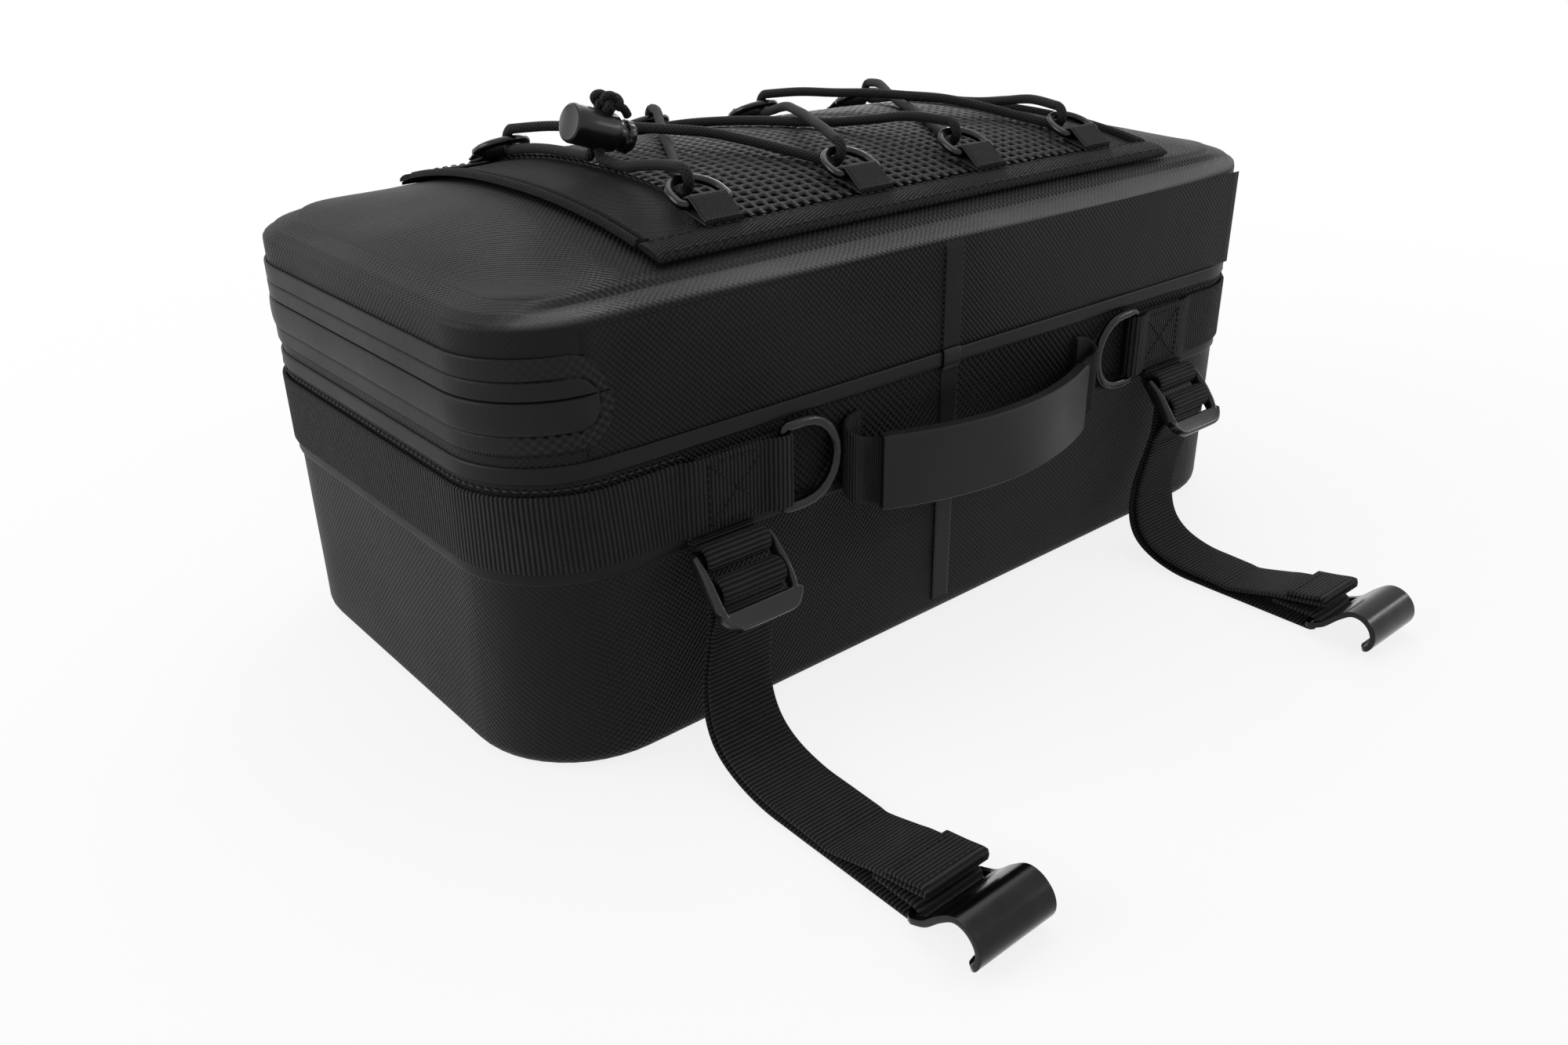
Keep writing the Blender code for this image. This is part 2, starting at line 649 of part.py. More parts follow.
def make_strap_set(side, face):
    name = ("front" if face < 0 else "back") + ("_left" if side < 0 else "_right")
    hand = "left" if side < 0 else "right"
    lean = (FRONT_LEAN if face < 0 else BACK_LEAN)[hand]
    run = (FRONT_RUN if face < 0 else BACK_RUN)[hand]
    reach = HALF_WIDTH + run
    middle_x = side * LOCK_X
    make_tab(name, side, face)

    bar = lock_point(0.0, 0.0)
    swing = Pivot(f"lock_{name}_axis", (middle_x, face * bar[0], bar[1]))
    lock = make_lock(name, side, face, swing)
    add(lock, "plastic", swing)
    strap = ribbon(f"strap_{name}", strap_route(run), face, WEBBING, middle_x, lean,
                   LOCK_HEIGHT - 0.018, STRAP_BED + 0.006)
    add(thicken(strap, WEB_THICK, 0.0), "webbing", swing)

    bar_z = STRAP_BED + WEB_THICK / 2 + HOOK_BAR_WRAP
    eye = Pivot(f"hook_{name}_axis", (middle_x + lean, face * reach, bar_z), swing)
    hook = ribbon(f"hook_{name}", hook_route(reach), face, HOOK_WIDTH, middle_x + lean)
    thicken(hook, HOOK_SHEET, 0.0)
    slot_start = reach + HOOK_BAR / 2
    window = block(f"hook_slot_{name}", (WEBBING + 0.001, HOOK_SLOT, 0.02),
                   (middle_x + lean, face * (slot_start + HOOK_SLOT / 2), bar_z))
    window.data.transform(Matrix.Translation(-eye.place))
    window.parent = eye.empty
    cut(hook, window)
    add(hook, "metal", eye)


# Carrying handle ---------------------------------------------------------------------------

def handle_line(x):
    """(out from the wall, height) of the handle's middle line at x."""
    share = min(abs(x) / HANDLE_END_X, 1.0)
    flat = share ** 2
    out = HANDLE_BOW + (HANDLE_END_OUT - HANDLE_BOW) * flat
    start = GRIP_LENGTH / 2 + SEAT
    rise = max(0.0, (abs(x) - start) / (HANDLE_END_X - start))
    return out, HANDLE_HEIGHT + (HANDLE_END_HEIGHT - HANDLE_HEIGHT) * rise


def make_handle():
    top = HANDLE_END_HEIGHT + WEBBING / 2
    inner = HALF_WIDTH + HANDLE_END_OUT - HANDLE_CORE / 2
    pivot = Pivot("handle_axis", (0, -inner, top))
    half_grip = GRIP_LENGTH / 2
    free = HANDLE_END_X - half_grip
    outer = [half_grip + SEAT + (free - SEAT) * k / 3 for k in range(4)]
    stations = ([-x for x in reversed(outer)] + [half_grip * k / 10 for k in range(-10, 11)]
                + outer)
    rows = []
    for edge in (-WEBBING / 2, WEBBING / 2):
        rows.append([(x, -HALF_WIDTH - handle_line(x)[0], handle_line(x)[1] + edge)
                     for x in stations])
    core = lofted("handle_webbing", rows)
    add(thicken(core, HANDLE_CORE, 0.0), "webbing", pivot)

    stations = [half_grip * k / 10 for k in range(-10, 11)]
    half_core = WEBBING / 2 + SEAT
    gap = HANDLE_CORE / 2 + SEAT
    rows = []
    for x in stations:
        out, z = handle_line(x)
        y = -HALF_WIDTH - out
        half = GRIP_HEIGHT / 2
        near, far = y + gap, y - gap
        thick_near, thick_far = near + GRIP_WALL, far - GRIP_WALL
        rows.append([(x, thick_far, z - half), (x, thick_far, z + half),
                     (x, thick_near, z + half), (x, thick_near, z - half),
                     (x, near, z - half_core), (x, near, z + half_core),
                     (x, far, z + half_core), (x, far, z - half_core)])
    bm = bmesh.new()
    rings = [[bm.verts.new(point) for point in row] for row in rows]
    for a, b in zip(rings, rings[1:]):
        for loop in ((0, 1, 2, 3), (4, 5, 6, 7)):
            for j in range(4):
                p, q = loop[j], loop[(j + 1) % 4]
                bm.faces.new((a[p], a[q], b[q], b[p]))
    inner_of = {0: 7, 1: 6, 2: 5, 3: 4}
    for ring in (rings[0], rings[-1]):
        for j in range(4):
            p, q = j, (j + 1) % 4
            bm.faces.new((ring[p], ring[q], ring[inner_of[q]], ring[inner_of[p]]))
    bmesh.ops.recalc_face_normals(bm, faces=bm.faces)
    grip = mesh_object("handle_grip", bm)
    add(grip, "grip", pivot)


# Top panel and lacing ------------------------------------------------------------------------

def sheet(name, x_range, y_range, level, thickness, counts, finish, pivot):
    """A sheet that follows the dome, its underside at the given level above the lid."""
    rows = []
    for j in range(counts[1] + 1):
        y = y_range[0] + (y_range[1] - y_range[0]) * j / counts[1]
        row = []
        for i in range(counts[0] + 1):
            x = x_range[0] + (x_range[1] - x_range[0]) * i / counts[0]
            row.append((x, y, dome(x, y) + level))
        rows.append(row)
    add(thicken(lofted(name, rows), thickness, 1.0), finish, pivot)


def make_panel(pivot):
    level = PANEL_TOP + SEAT
    edge = PANEL_HALF_Y + BINDING_OVERHANG
    inner = edge - BINDING_WIDTH
    sheet("top_panel", (-PANEL_HALF_X, PANEL_HALF_X), (-PANEL_HALF_Y, PANEL_HALF_Y),
          PANEL_GAP, PANEL_THICKNESS, (16, 14), "panel", pivot)
    sheet("mesh_pocket", (-MESH_HALF_X, MESH_HALF_X), (-MESH_HALF_Y, MESH_HALF_Y),
          level, MESH_THICKNESS, (12, 12), "mesh", pivot)
    sheet("binding_front", (-PANEL_HALF_X, PANEL_HALF_X), (-edge, -inner),
          level, BINDING_THICKNESS, (16, 2), "webbing", pivot)
    sheet("binding_back", (-PANEL_HALF_X, PANEL_HALF_X), (inner, edge),
          level, BINDING_THICKNESS, (16, 2), "webbing", pivot)
    side = PANEL_HALF_X + 0.001
    length = inner - SEAT
    sheet("piping_left", (-side, PIPING_WIDTH - side), (-length, length),
          level, BINDING_THICKNESS, (1, 12), "webbing", pivot)
    sheet("piping_right", (side - PIPING_WIDTH, side), (-length, length),
          level, BINDING_THICKNESS, (1, 12), "webbing", pivot)


LACE_BAR_UP = MESH_TOP + SEAT + LACE_TAB_THICK + LACE_GAP + LACE_WIRE
LACE_CROWN_UP = MESH_TOP + 2 * SEAT + 2 * CORD_RADIUS + LACE_WIRE + 0.0001
LACE_CROWN_Y = LACE_BAR_Y - LACE_RING_DEPTH
CORD_LOW = MESH_TOP + SEAT + CORD_RADIUS
CORD_TURN = CORD_RADIUS + SEAT + LACE_WIRE + 0.0001


def lace_crown(number, face):
    """Middle of the ring's wire where the cord turns round it."""
    x = LACE_RING_X[number]
    y = face * LACE_CROWN_Y
    return Vector((x, y, dome(x, y) + LACE_CROWN_UP))


def dome_slope(x, y):
    """Angle by which the dome falls away towards the bag's long edge."""
    return atan2(dome(x, y - 0.004) - dome(x, y + 0.004), 0.008)


def make_lace_ring(number, face, pivot):
    name = f"{'front' if face < 0 else 'back'}_{number + 1}"
    x = LACE_RING_X[number]
    slope = dome_slope(x, LACE_BAR_Y)
    bar_z = dome(x, LACE_BAR_Y) + LACE_BAR_UP / cos(slope)
    crown_z = lace_crown(number, face).z
    half = LACE_TAB / 2 + 0.0006 + LACE_WIRE
    shape = [(0.0, 0.0), (-half + 0.001, 0.0), (-half, 0.001), (-half, 0.004)]
    for k in range(1, 6):
        angle = pi * k / 6
        shape.append((-half * cos(angle), 0.004 + (LACE_RING_DEPTH - 0.004) * sin(angle)))
    shape += [(half, 0.004), (half, 0.001), (half - 0.001, 0.0)]
    points = [(x + across, face * (LACE_BAR_Y - depth),
               bar_z + (crown_z - bar_z) * depth / LACE_RING_DEPTH) for across, depth in shape]
    add(tube(f"lace_ring_{name}", points, LACE_WIRE, cyclic=True), "metal", pivot)

    wrap = LACE_WIRE + LACE_GAP + LACE_TAB_THICK / 2
    root_y = PANEL_HALF_Y + BINDING_OVERHANG - BINDING_WIDTH - SEAT
    base = dome(x, root_y) + MESH_TOP + SEAT + LACE_TAB_THICK / 2 / cos(slope)
    route = [(root_y, base)]
    for k in range(8):
        angle = -pi / 2 - slope - radians(200) * k / 7
        route.append((LACE_BAR_Y + wrap * cos(angle), bar_z + wrap * sin(angle)))
    route.append((root_y, base + (LACE_TAB_THICK + LACE_GAP) / cos(slope)))
    tab = ribbon(f"lace_tab_{name}", route, face, LACE_TAB, x)
    add(thicken(tab, LACE_TAB_THICK, 0.0), "webbing", pivot)


def stop_point(along, across, up):
    """A point in the cord lock's frame: along its barrel, across it and up its cord hole."""
    axis = Vector((cos(STOP_TILT), 0, -sin(STOP_TILT)))
    rise = Vector((sin(STOP_TILT), 0, cos(STOP_TILT)))
    return STOP_CENTRE + along * axis + across * Vector((0, 1, 0)) + up * rise


def over_dome(x, y, up):
    return Vector((x, y, dome(x, y) + up))


def strand_between(start, end, heights):
    """Points between two places in plan, at the given heights above the dome."""
    count = len(heights) + 1
    points = []
    for k, up in enumerate(heights, 1):
        place = start.lerp(end, k / count)
        points.append(over_dome(place.x, place.y, up))
    return points


def cord_turn(number, face, arrive_x, leave_x):
    """The cord comes in under a ring's crown, up through the ring and back over it."""
    crown = lace_crown(number, face)
    points = []
    for k in range(5):
        angle = radians(-90 - 45 * k)
        shift = arrive_x + (leave_x - arrive_x) * k / 4
        points.append(crown + Vector((shift, -face * CORD_TURN * cos(angle),
                                      CORD_TURN * sin(angle))))
    return points


def cord_route():
    """One cord through all eight rings, with both ends up through the cord lock."""
    high = 2 * CORD_TURN + CORD_LOW
    step = 2 * CORD_RADIUS + 0.0006
    upper = [high - 0.0008, high - 0.0022, CORD_LOW + step + 0.0006, CORD_LOW + step,
             CORD_LOW + step - 0.0004, CORD_LOW + 0.0022, CORD_LOW + 0.0006]
    lower = [high - 0.0012, high - 0.0044, CORD_LOW + 0.0006, CORD_LOW,
             CORD_LOW, CORD_LOW, CORD_LOW]
    straight = [high - 0.0010, high - 0.0040, CORD_LOW + 0.0010, CORD_LOW,
                CORD_LOW, CORD_LOW, CORD_LOW]
    strand = CORD_RADIUS + 0.00015
    under = -STOP_RADIUS - 0.0016
    feed = stop_point(0, 0, under)
    ground = over_dome(feed.x, feed.y, CORD_LOW).z

    sequence = [(0, 1), (1, -1), (2, 1), (3, -1), (3, 1), (2, -1), (1, 1), (0, -1)]
    inner = 0.0008
    route = [stop_point(0, 0.0040, STOP_RADIUS + 0.0066), stop_point(0, 0.0040, STOP_RADIUS + 0.0050),
             stop_point(0, 0.0036, STOP_RADIUS + 0.0032), stop_point(0, strand + 0.0004, STOP_RADIUS),
             stop_point(0, strand, 0.003), stop_point(0, strand, -0.003),
             stop_point(0, strand, 0.0008 - STOP_RADIUS),
             Vector((feed.x, feed.y + strand + 0.0012, (ground + feed.z) / 2 + 0.0002)),
             Vector((feed.x, feed.y + strand + 0.0040, ground + 0.0002))]
    first = lace_crown(*sequence[0])
    route += strand_between(Vector((feed.x, feed.y + strand + 0.0040, 0)), first, [CORD_LOW] * 3)
    for index, (number, face) in enumerate(sequence):
        arrive = inner if index in (5, 6, 7) else -inner
        leave = inner if index < 3 else -inner
        if index in (0, 3, 4):
            arrive = -inner if index != 4 else inner
        if index == 7:
            arrive, leave = inner, -inner
        route += cord_turn(number, face, arrive, leave)
        here = lace_crown(number, face)
        if index == 7:
            continue
        there = lace_crown(*sequence[index + 1])
        heights = upper if index < 3 else lower
        if index == 3:
            heights = straight
        route += strand_between(here, there, heights)
    last = lace_crown(*sequence[-1])
    descent = [high - 0.0024, CORD_LOW + 0.0024, CORD_LOW]
    route += strand_between(last, Vector((feed.x, feed.y - strand - 0.0040, 0)), descent)
    route += [Vector((feed.x, feed.y - strand - 0.0040, ground + 0.0002)),
              Vector((feed.x, feed.y - strand - 0.0012, (ground + feed.z) / 2 + 0.0002)),
              stop_point(0, -strand, 0.0008 - STOP_RADIUS),
              stop_point(0, -strand, -0.003), stop_point(0, -strand, 0.003),
              stop_point(0, -strand - 0.0004, STOP_RADIUS),
              stop_point(0, -0.0036, STOP_RADIUS + 0.0032),
              stop_point(0, -0.0040, STOP_RADIUS + 0.0050),
              stop_point(0, -0.0040, STOP_RADIUS + 0.0066)]
    return route


def make_cord(pivot):
    route = cord_route()
    knot = [0.9, 1.9, 2.0, 1.0]
    swell = knot + [1.0] * (len(route) - 2 * len(knot)) + knot[::-1]
    add(tube("elastic_cord", route, CORD_RADIUS, swell=swell), "cord", pivot)


def turned(name, profile, steps=16):
    """A solid turned about the cord lock's barrel; the profile is (along, radius)."""
    bm = bmesh.new()
    rings = []
    for along, radius in profile:
        ring = []
        for k in range(steps):
            angle = 2 * pi * k / steps
            point = stop_point(along, radius * cos(angle), radius * sin(angle))
            ring.append(bm.verts.new(point))
        rings.append(ring)
    for a, b in zip(rings, rings[1:]):
        for j in range(steps):
            k = (j + 1) % steps
            bm.faces.new((a[j], a[k], b[k], b[j]))
    bm.faces.new(rings[0])
    bm.faces.new(rings[-1])
    bmesh.ops.recalc_face_normals(bm, faces=bm.faces)
    return mesh_object(name, bm)


def cord_window(name, start, end, pivot):
    """Cutter for the slot that the cord's two strands pass through."""
    turn = Matrix.Rotation(STOP_TILT, 3, "Y")
    size = (end - start, 4 * CORD_RADIUS + 0.0010, 0.04)
    window = block(name, size, stop_point((start + end) / 2, 0, 0), turn)
    window.data.transform(Matrix.Translation(-pivot.place))
    window.parent = pivot.empty
    return window


def make_cord_stop(lid):
    barrel = turned("lock_barrel", [
        (-STOP_LEFT, STOP_RADIUS - 0.0008), (0.0012 - STOP_LEFT, STOP_RADIUS),
        (STOP_RIGHT - 0.001, STOP_RADIUS - 0.0004), (STOP_RIGHT, STOP_RADIUS - 0.0009)])
    bore = turned("barrel_bore", [(STOP_END_WALL - STOP_LEFT, STOP_BORE),
                                  (STOP_RIGHT + 0.01, STOP_BORE)])
    bore.data.transform(Matrix.Translation(-lid.place))
    bore.parent = lid.empty
    cut(barrel, bore)
    reach = CORD_RADIUS + SEAT
    cut(barrel, cord_window("barrel_cord_hole", -reach, reach, lid))
    add(barrel, "plastic", lid)

    slide = Pivot("plunger_axis", STOP_CENTRE, lid)
    stem_end = -0.0040
    neck = STOP_RIGHT + STOP_TRAVEL + SEAT
    plunger = turned("lock_plunger", [
        (stem_end, PLUNGER_RADIUS), (neck, PLUNGER_RADIUS), (neck + 0.0002, PLUNGER_HEAD_RADIUS),
        (neck + PLUNGER_HEAD - 0.0008, PLUNGER_HEAD_RADIUS),
        (neck + PLUNGER_HEAD, PLUNGER_HEAD_RADIUS - 0.0008)])
    reach = CORD_RADIUS + SEAT
    cut(plunger, cord_window("plunger_cord_slot", -reach, reach + STOP_TRAVEL, slide))
    add(plunger, "plastic", slide)

    start = STOP_END_WALL - STOP_LEFT + SPRING_WIRE + SEAT
    length = stem_end - SEAT - SPRING_WIRE - start
    count = SPRING_TURNS * 10
    coil = [stop_point(start + length * k / count, SPRING_RADIUS * cos(2 * pi * k / 10),
                       SPRING_RADIUS * sin(2 * pi * k / 10)) for k in range(count + 1)]
    add(tube("lock_spring", coil, SPRING_WIRE, resolution=1), "steel", lid)


fold_out = HALF_WIDTH + SEAT + FLANGE_THICKNESS     # the lid turns about the wall's outer face
lid_pivot = Pivot("lid_axis", (0, -fold_out, PART_HEIGHT))
make_tub()
make_lid(lid_pivot)
make_flange()
make_zip(lid_pivot)
for hand in (-1, 1):
    make_slider(hand)
    make_band(hand)
    for wall in (-1, 1):
        make_d_ring(hand, wall)
        make_strap_set(hand, wall)
make_handle()
make_panel(lid_pivot)
for ring_number in range(len(LACE_RING_X)):
    for wall in (-1, 1):
        make_lace_ring(ring_number, wall, lid_pivot)
make_cord(lid_pivot)
make_cord_stop(lid_pivot)
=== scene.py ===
from math import atan2, cos, pi, radians, sin, sqrt

import bmesh
import bpy
from mathutils import Matrix, Vector, noise


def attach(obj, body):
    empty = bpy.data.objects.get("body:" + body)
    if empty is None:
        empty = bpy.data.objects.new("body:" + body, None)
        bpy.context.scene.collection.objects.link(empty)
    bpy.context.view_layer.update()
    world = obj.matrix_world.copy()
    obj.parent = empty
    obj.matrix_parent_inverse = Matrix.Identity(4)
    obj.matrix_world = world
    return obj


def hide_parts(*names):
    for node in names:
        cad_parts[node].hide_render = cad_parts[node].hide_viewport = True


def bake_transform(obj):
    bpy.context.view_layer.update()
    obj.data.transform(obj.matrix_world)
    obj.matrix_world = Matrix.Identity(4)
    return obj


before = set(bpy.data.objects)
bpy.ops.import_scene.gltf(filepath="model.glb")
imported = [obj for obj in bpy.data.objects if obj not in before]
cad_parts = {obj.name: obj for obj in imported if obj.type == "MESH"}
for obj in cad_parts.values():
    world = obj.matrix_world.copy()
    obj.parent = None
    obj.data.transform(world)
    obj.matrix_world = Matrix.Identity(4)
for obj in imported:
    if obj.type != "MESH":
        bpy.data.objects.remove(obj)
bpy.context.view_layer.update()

noise.seed_set(1)  # so that the net is the same on each run


def linked(name, data):  # a new object in the scene
    made = bpy.data.objects.new(name, data)
    bpy.context.scene.collection.objects.link(made)
    return made


hands = ((-1, "left"), (1, "right"))
walls = ((-1, "front"), (1, "back"))

# camera

view = {"place": (-0.3323, -0.3834, 0.2467), "yaw": 40.197, "pitch": 25.913, "roll": -0.905, "lens": 29.17}

yaw, pitch, roll = (radians(view[k]) for k in ("yaw", "pitch", "roll"))
ahead = Vector((sin(yaw) * cos(pitch), cos(yaw) * cos(pitch), -sin(pitch)))
level = Vector((cos(yaw), -sin(yaw), 0))
upright = level.cross(ahead)
across = cos(roll) * level + sin(roll) * upright
upright = cos(roll) * upright - sin(roll) * level
camera = linked("camera", bpy.data.cameras.new("camera"))
camera.data.lens = view["lens"]
camera.data.clip_start = 0.01
axes = Matrix((across, upright, -ahead)).transposed()
camera.matrix_world = Matrix.Translation(view["place"]) @ axes.to_4x4()
bpy.context.scene.camera = camera
print("camera set")

# shader sums


class Wire:  # a shader socket; sums on it add their Math nodes
    def __init__(self, tree, socket=None):
        self.tree = tree
        self.socket = socket

    def node(self, kind, settings=None, inputs=None, out=0):
        added = self.tree.nodes.new(kind)
        for key, value in (settings or {}).items():
            if key != "stops":
                setattr(added, key, value)
                continue
            stops = added.color_ramp.elements
            while len(stops) < len(value):
                stops.new(0.5)
            for stop, (at, shade) in zip(stops, value):
                stop.position = at
                stop.color = (shade, shade, shade, 1)
        for key, value in (inputs or {}).items():
            if isinstance(value, Wire):
                self.tree.links.new(value.socket, added.inputs[key])
            else:
                added.inputs[key].default_value = value
        return Wire(self.tree, added.outputs[out])

    def sum(self, operation, *values):
        return self.node("ShaderNodeMath", {"operation": operation}, dict(enumerate(values)))

    def __add__(self, other):
        return self.sum("ADD", self, other)

    def __sub__(self, other):
        return self.sum("SUBTRACT", self, other)

    def __rsub__(self, other):
        return self.sum("SUBTRACT", other, self)

    def __mul__(self, other):
        return self.sum("MULTIPLY", self, other)

    def __truediv__(self, other):
        return self.sum("DIVIDE", self, other)

    __radd__ = __add__
    __rmul__ = __mul__

    def wave(self):
        return self.sum("SINE", self)

    def size(self):
        return self.sum("ABSOLUTE", self)

    def clipped(self):
        return self.sum("MINIMUM", self.sum("MAXIMUM", self, 0.0), 1.0)

    def blendTo(self, dark, light):  # colour between two, by this amount
        return self.node("ShaderNodeMix", {"data_type": "RGBA"},
                         {0: self, 6: (*dark, 1), 7: (*light, 1)}, out=2)


finishes = {}


def startFinish(name, rough=0.5, **fixed):
    made = bpy.data.materials.new(name)
    made.use_nodes = True
    surface = made.node_tree.nodes["Principled BSDF"]
    surface.inputs["Roughness"].default_value = rough
    for socket, value in fixed.items():
        surface.inputs[socket].default_value = value
    finishes[name] = made
    return Wire(made.node_tree), surface


def feed(wire, surface, socket):
    wire.tree.links.new(wire.socket, surface.inputs[socket])


def cloth(wire):  # run along the cloth and place across it, in millimetres
    place = wire.node("ShaderNodeUVMap", {"uv_map": "cloth"})
    return (wire.node("ShaderNodeSeparateXYZ", inputs={0: place}) * 1000.0,
            wire.node("ShaderNodeSeparateXYZ", inputs={0: place}, out=1) * 1000.0)


def speckle(wire, scale, detail=2.0, rough=0.5):  # noise fixed to the piece
    spot = wire.node("ShaderNodeTexCoord", out=3)
    return wire.node("ShaderNodeTexNoise", {"noise_dimensions": "3D"},
                     {"Vector": spot, "Scale": scale, "Detail": detail, "Roughness": rough})


def lift(height, distance, surface, strength=1.0):
    feed(height.node("ShaderNodeBump", inputs={"Strength": strength, "Distance": distance, "Height": height}),
         surface, "Normal")


def grey(value):
    return (value, value, value)


def coatedFabric(name, base, weave, spec=0.25, rough=0.5, pitch=1.5, toothed=False):
    wire, surface = startFinish(name, rough, **{"Specular IOR Level": spec})
    u, v = cloth(wire)
    woven = wire.node("ShaderNodeAttribute", {"attribute_name": "weave"}, out=2)
    # painted light and shade: a number kept on some pieces' points that lightens or darkens the base colour
    # to stand in for how light falls on them
    pale = wire.node("ShaderNodeAttribute", {"attribute_name": "pale"}, out=2)
    turn = pi * 1.414 / pitch
    wander = (speckle(wire, 150.0, 2.0) - 0.5) * 0.55  # the threads don't run quite straight
    dots = ((u + wander) * turn).wave() * ((v - wander) * turn).wave()
    patches = ((speckle(wire, 13.0, 2.0) - 0.36) * 4.5).clipped()
    grain = speckle(wire, 1100.0, 2.0)
    broad = speckle(wire, 24.0, 3.0)
    strength = woven * (patches * 0.75 + 0.25) * weave
    height = dots * strength + grain * 0.22 + broad * 2.2
    shade = broad * 0.55 + 0.22 + dots * strength * 0.5 + (grain - 0.5) * 0.30
    if toothed:  # a fine toothed line under the zip
        band = (1.0 - (v - 110.1).size() / 0.75).clipped()
        height = height + band * ((u * (2 * pi / 0.95)).wave() - 0.6) * 1.6
        shade = shade - band * 0.35
    lift(height, 0.00034, surface, 1.0)
    # painted light: the colour is scaled up or down by that number
    shade = (shade * 0.08 + 0.045) * (pale + 1.0)
    feed(shade.clipped().blendTo(grey(0.0), grey(base * 11.6)), surface, "Base Color")
    feed(rough + (broad - 0.5) * 0.20 - dots * strength * 0.08 + (grain - 0.5) * 0.12, surface, "Roughness")


def ribbedWebbing(name, base, ribPitch, depth=0.0005, lengthwise=False):
    wire, surface = startFinish(name, 0.72, **{"Specular IOR Level": 0.14, "Sheen Weight": 0.015,
                                              "Sheen Roughness": 0.5})
    u, v = cloth(wire)
    if lengthwise:
        u, v = v, u
    wander = speckle(wire, 140.0, 2.0)
    line = u + (wander - 0.5) * 0.30
    ribs = (line * (2 * pi / ribPitch)).wave() * 0.5 + 0.5
    rank = (line / ribPitch).sum("FLOOR", line / ribPitch)
    threads = (v * (2 * pi / 0.75) + rank * pi).wave() * 0.5 + 0.5
    fuzz = speckle(wire, 2400.0, 2.0)
    lift(ribs + threads * ribs * 0.4 + fuzz * 0.2, depth, surface, 1.0)
    shade = ribs * 1.05 + threads * 0.15 - 0.12 + (fuzz - 0.5) * 0.25 + (wander - 0.5) * 0.4
    feed(shade.clipped().blendTo(grey(base * 0.04), grey(base * 2.5)), surface, "Base Color")
    feed(0.55 + fuzz * 0.3, surface, "Roughness")


def herringbone(name, base):
    wire, surface = startFinish(name, 0.75, **{"Specular IOR Level": 0.12, "Sheen Weight": 0.02})
    u, v = cloth(wire)
    wander = speckle(wire, 160.0, 2.0)
    slant = ((v - u * 0.42 + (wander - 0.5) * 0.5) * (2 * pi / 1.05)).wave() * 0.5 + 0.5
    fuzz = speckle(wire, 2400.0, 2.0)
    lift(slant + fuzz * 0.5, 0.0005, surface, 1.0)
    shade = (slant * 0.95 + (fuzz - 0.5) * 0.7 + (wander - 0.5) * 0.5 - 0.05).clipped()
    feed(shade.blendTo(grey(base * 0.05), grey(base * 2.4)), surface, "Base Color")


def twill(name, base, pitch):
    wire, surface = startFinish(name, 0.7, **{"Specular IOR Level": 0.12, "Sheen Weight": 0.02})
    u, v = cloth(wire)
    slant = ((u + v * 0.6) * (2 * pi / pitch)).wave() * 0.5 + 0.5
    fuzz = speckle(wire, 1900.0, 3.0)
    broad = speckle(wire, 60.0, 3.0)
    lift(slant * 1.0 + fuzz * 1.6 + broad * 1.5, 0.00042, surface, 1.0)
    shade = (slant * 0.6 + (fuzz - 0.35) * 1.3 + (broad - 0.5) * 0.6).clipped()
    feed(shade.blendTo(grey(base * 0.35), grey(base * 1.6)), surface, "Base Color")


def smoothTrim(name, base, rough, spec, grainDepth=0.00004, coat=0.0):
    wire, surface = startFinish(name, rough, **{"Specular IOR Level": spec, "Coat Weight": coat,
                                               "Coat Roughness": 0.3})
    grain = speckle(wire, 1300.0, 2.0)
    broad = speckle(wire, 45.0, 3.0)
    lift(grain * 0.5 + broad * 2.0, grainDepth, surface, 0.8)
    shade = (broad * 0.9 + (grain - 0.5) * 0.3).clipped()
    feed(shade.blendTo(grey(base * 0.75), grey(base * 1.3)), surface, "Base Color")
    feed(rough + (broad - 0.5) * 0.25 + (grain - 0.5) * 0.08, surface, "Roughness")


def blackSteel(name, base, rough, metallic=0.85):
    wire, surface = startFinish(name, rough, Metallic=metallic)
    fine = speckle(wire, 2000.0, 2.0)
    broad = speckle(wire, 110.0, 3.0)
    scuffs = ((speckle(wire, 320.0, 4.0, 0.7) - 0.66) * 9.0).clipped()
    lift(fine * 0.5 + broad, 0.00003, surface, 0.7)
    shade = (broad * 0.6 + scuffs * 0.9).clipped()
    feed(shade.blendTo(grey(base * 0.8), grey(base * 2.2)), surface, "Base Color")
    feed(rough + (broad - 0.5) * 0.2 + scuffs * 0.1, surface, "Roughness")


def braid(name, base):
    wire, surface = startFinish(name, 0.7, **{"Specular IOR Level": 0.12, "Sheen Weight": 0.02})
    u, v = cloth(wire)
    one = ((u + v * 0.95) * (2 * pi / 1.5)).wave()
    two = ((u - v * 0.95) * (2 * pi / 1.5)).wave()
    plait = one.sum("MAXIMUM", one, two) * 0.5 + 0.5
    fuzz = speckle(wire, 2800.0, 2.0)
    lift(plait + fuzz * 0.3, 0.00028, surface, 0.9)
    shade = (plait * 0.8 + (fuzz - 0.5) * 0.5).clipped()
    feed(shade.blendTo(grey(base * 0.3), grey(base * 1.5)), surface, "Base Color")


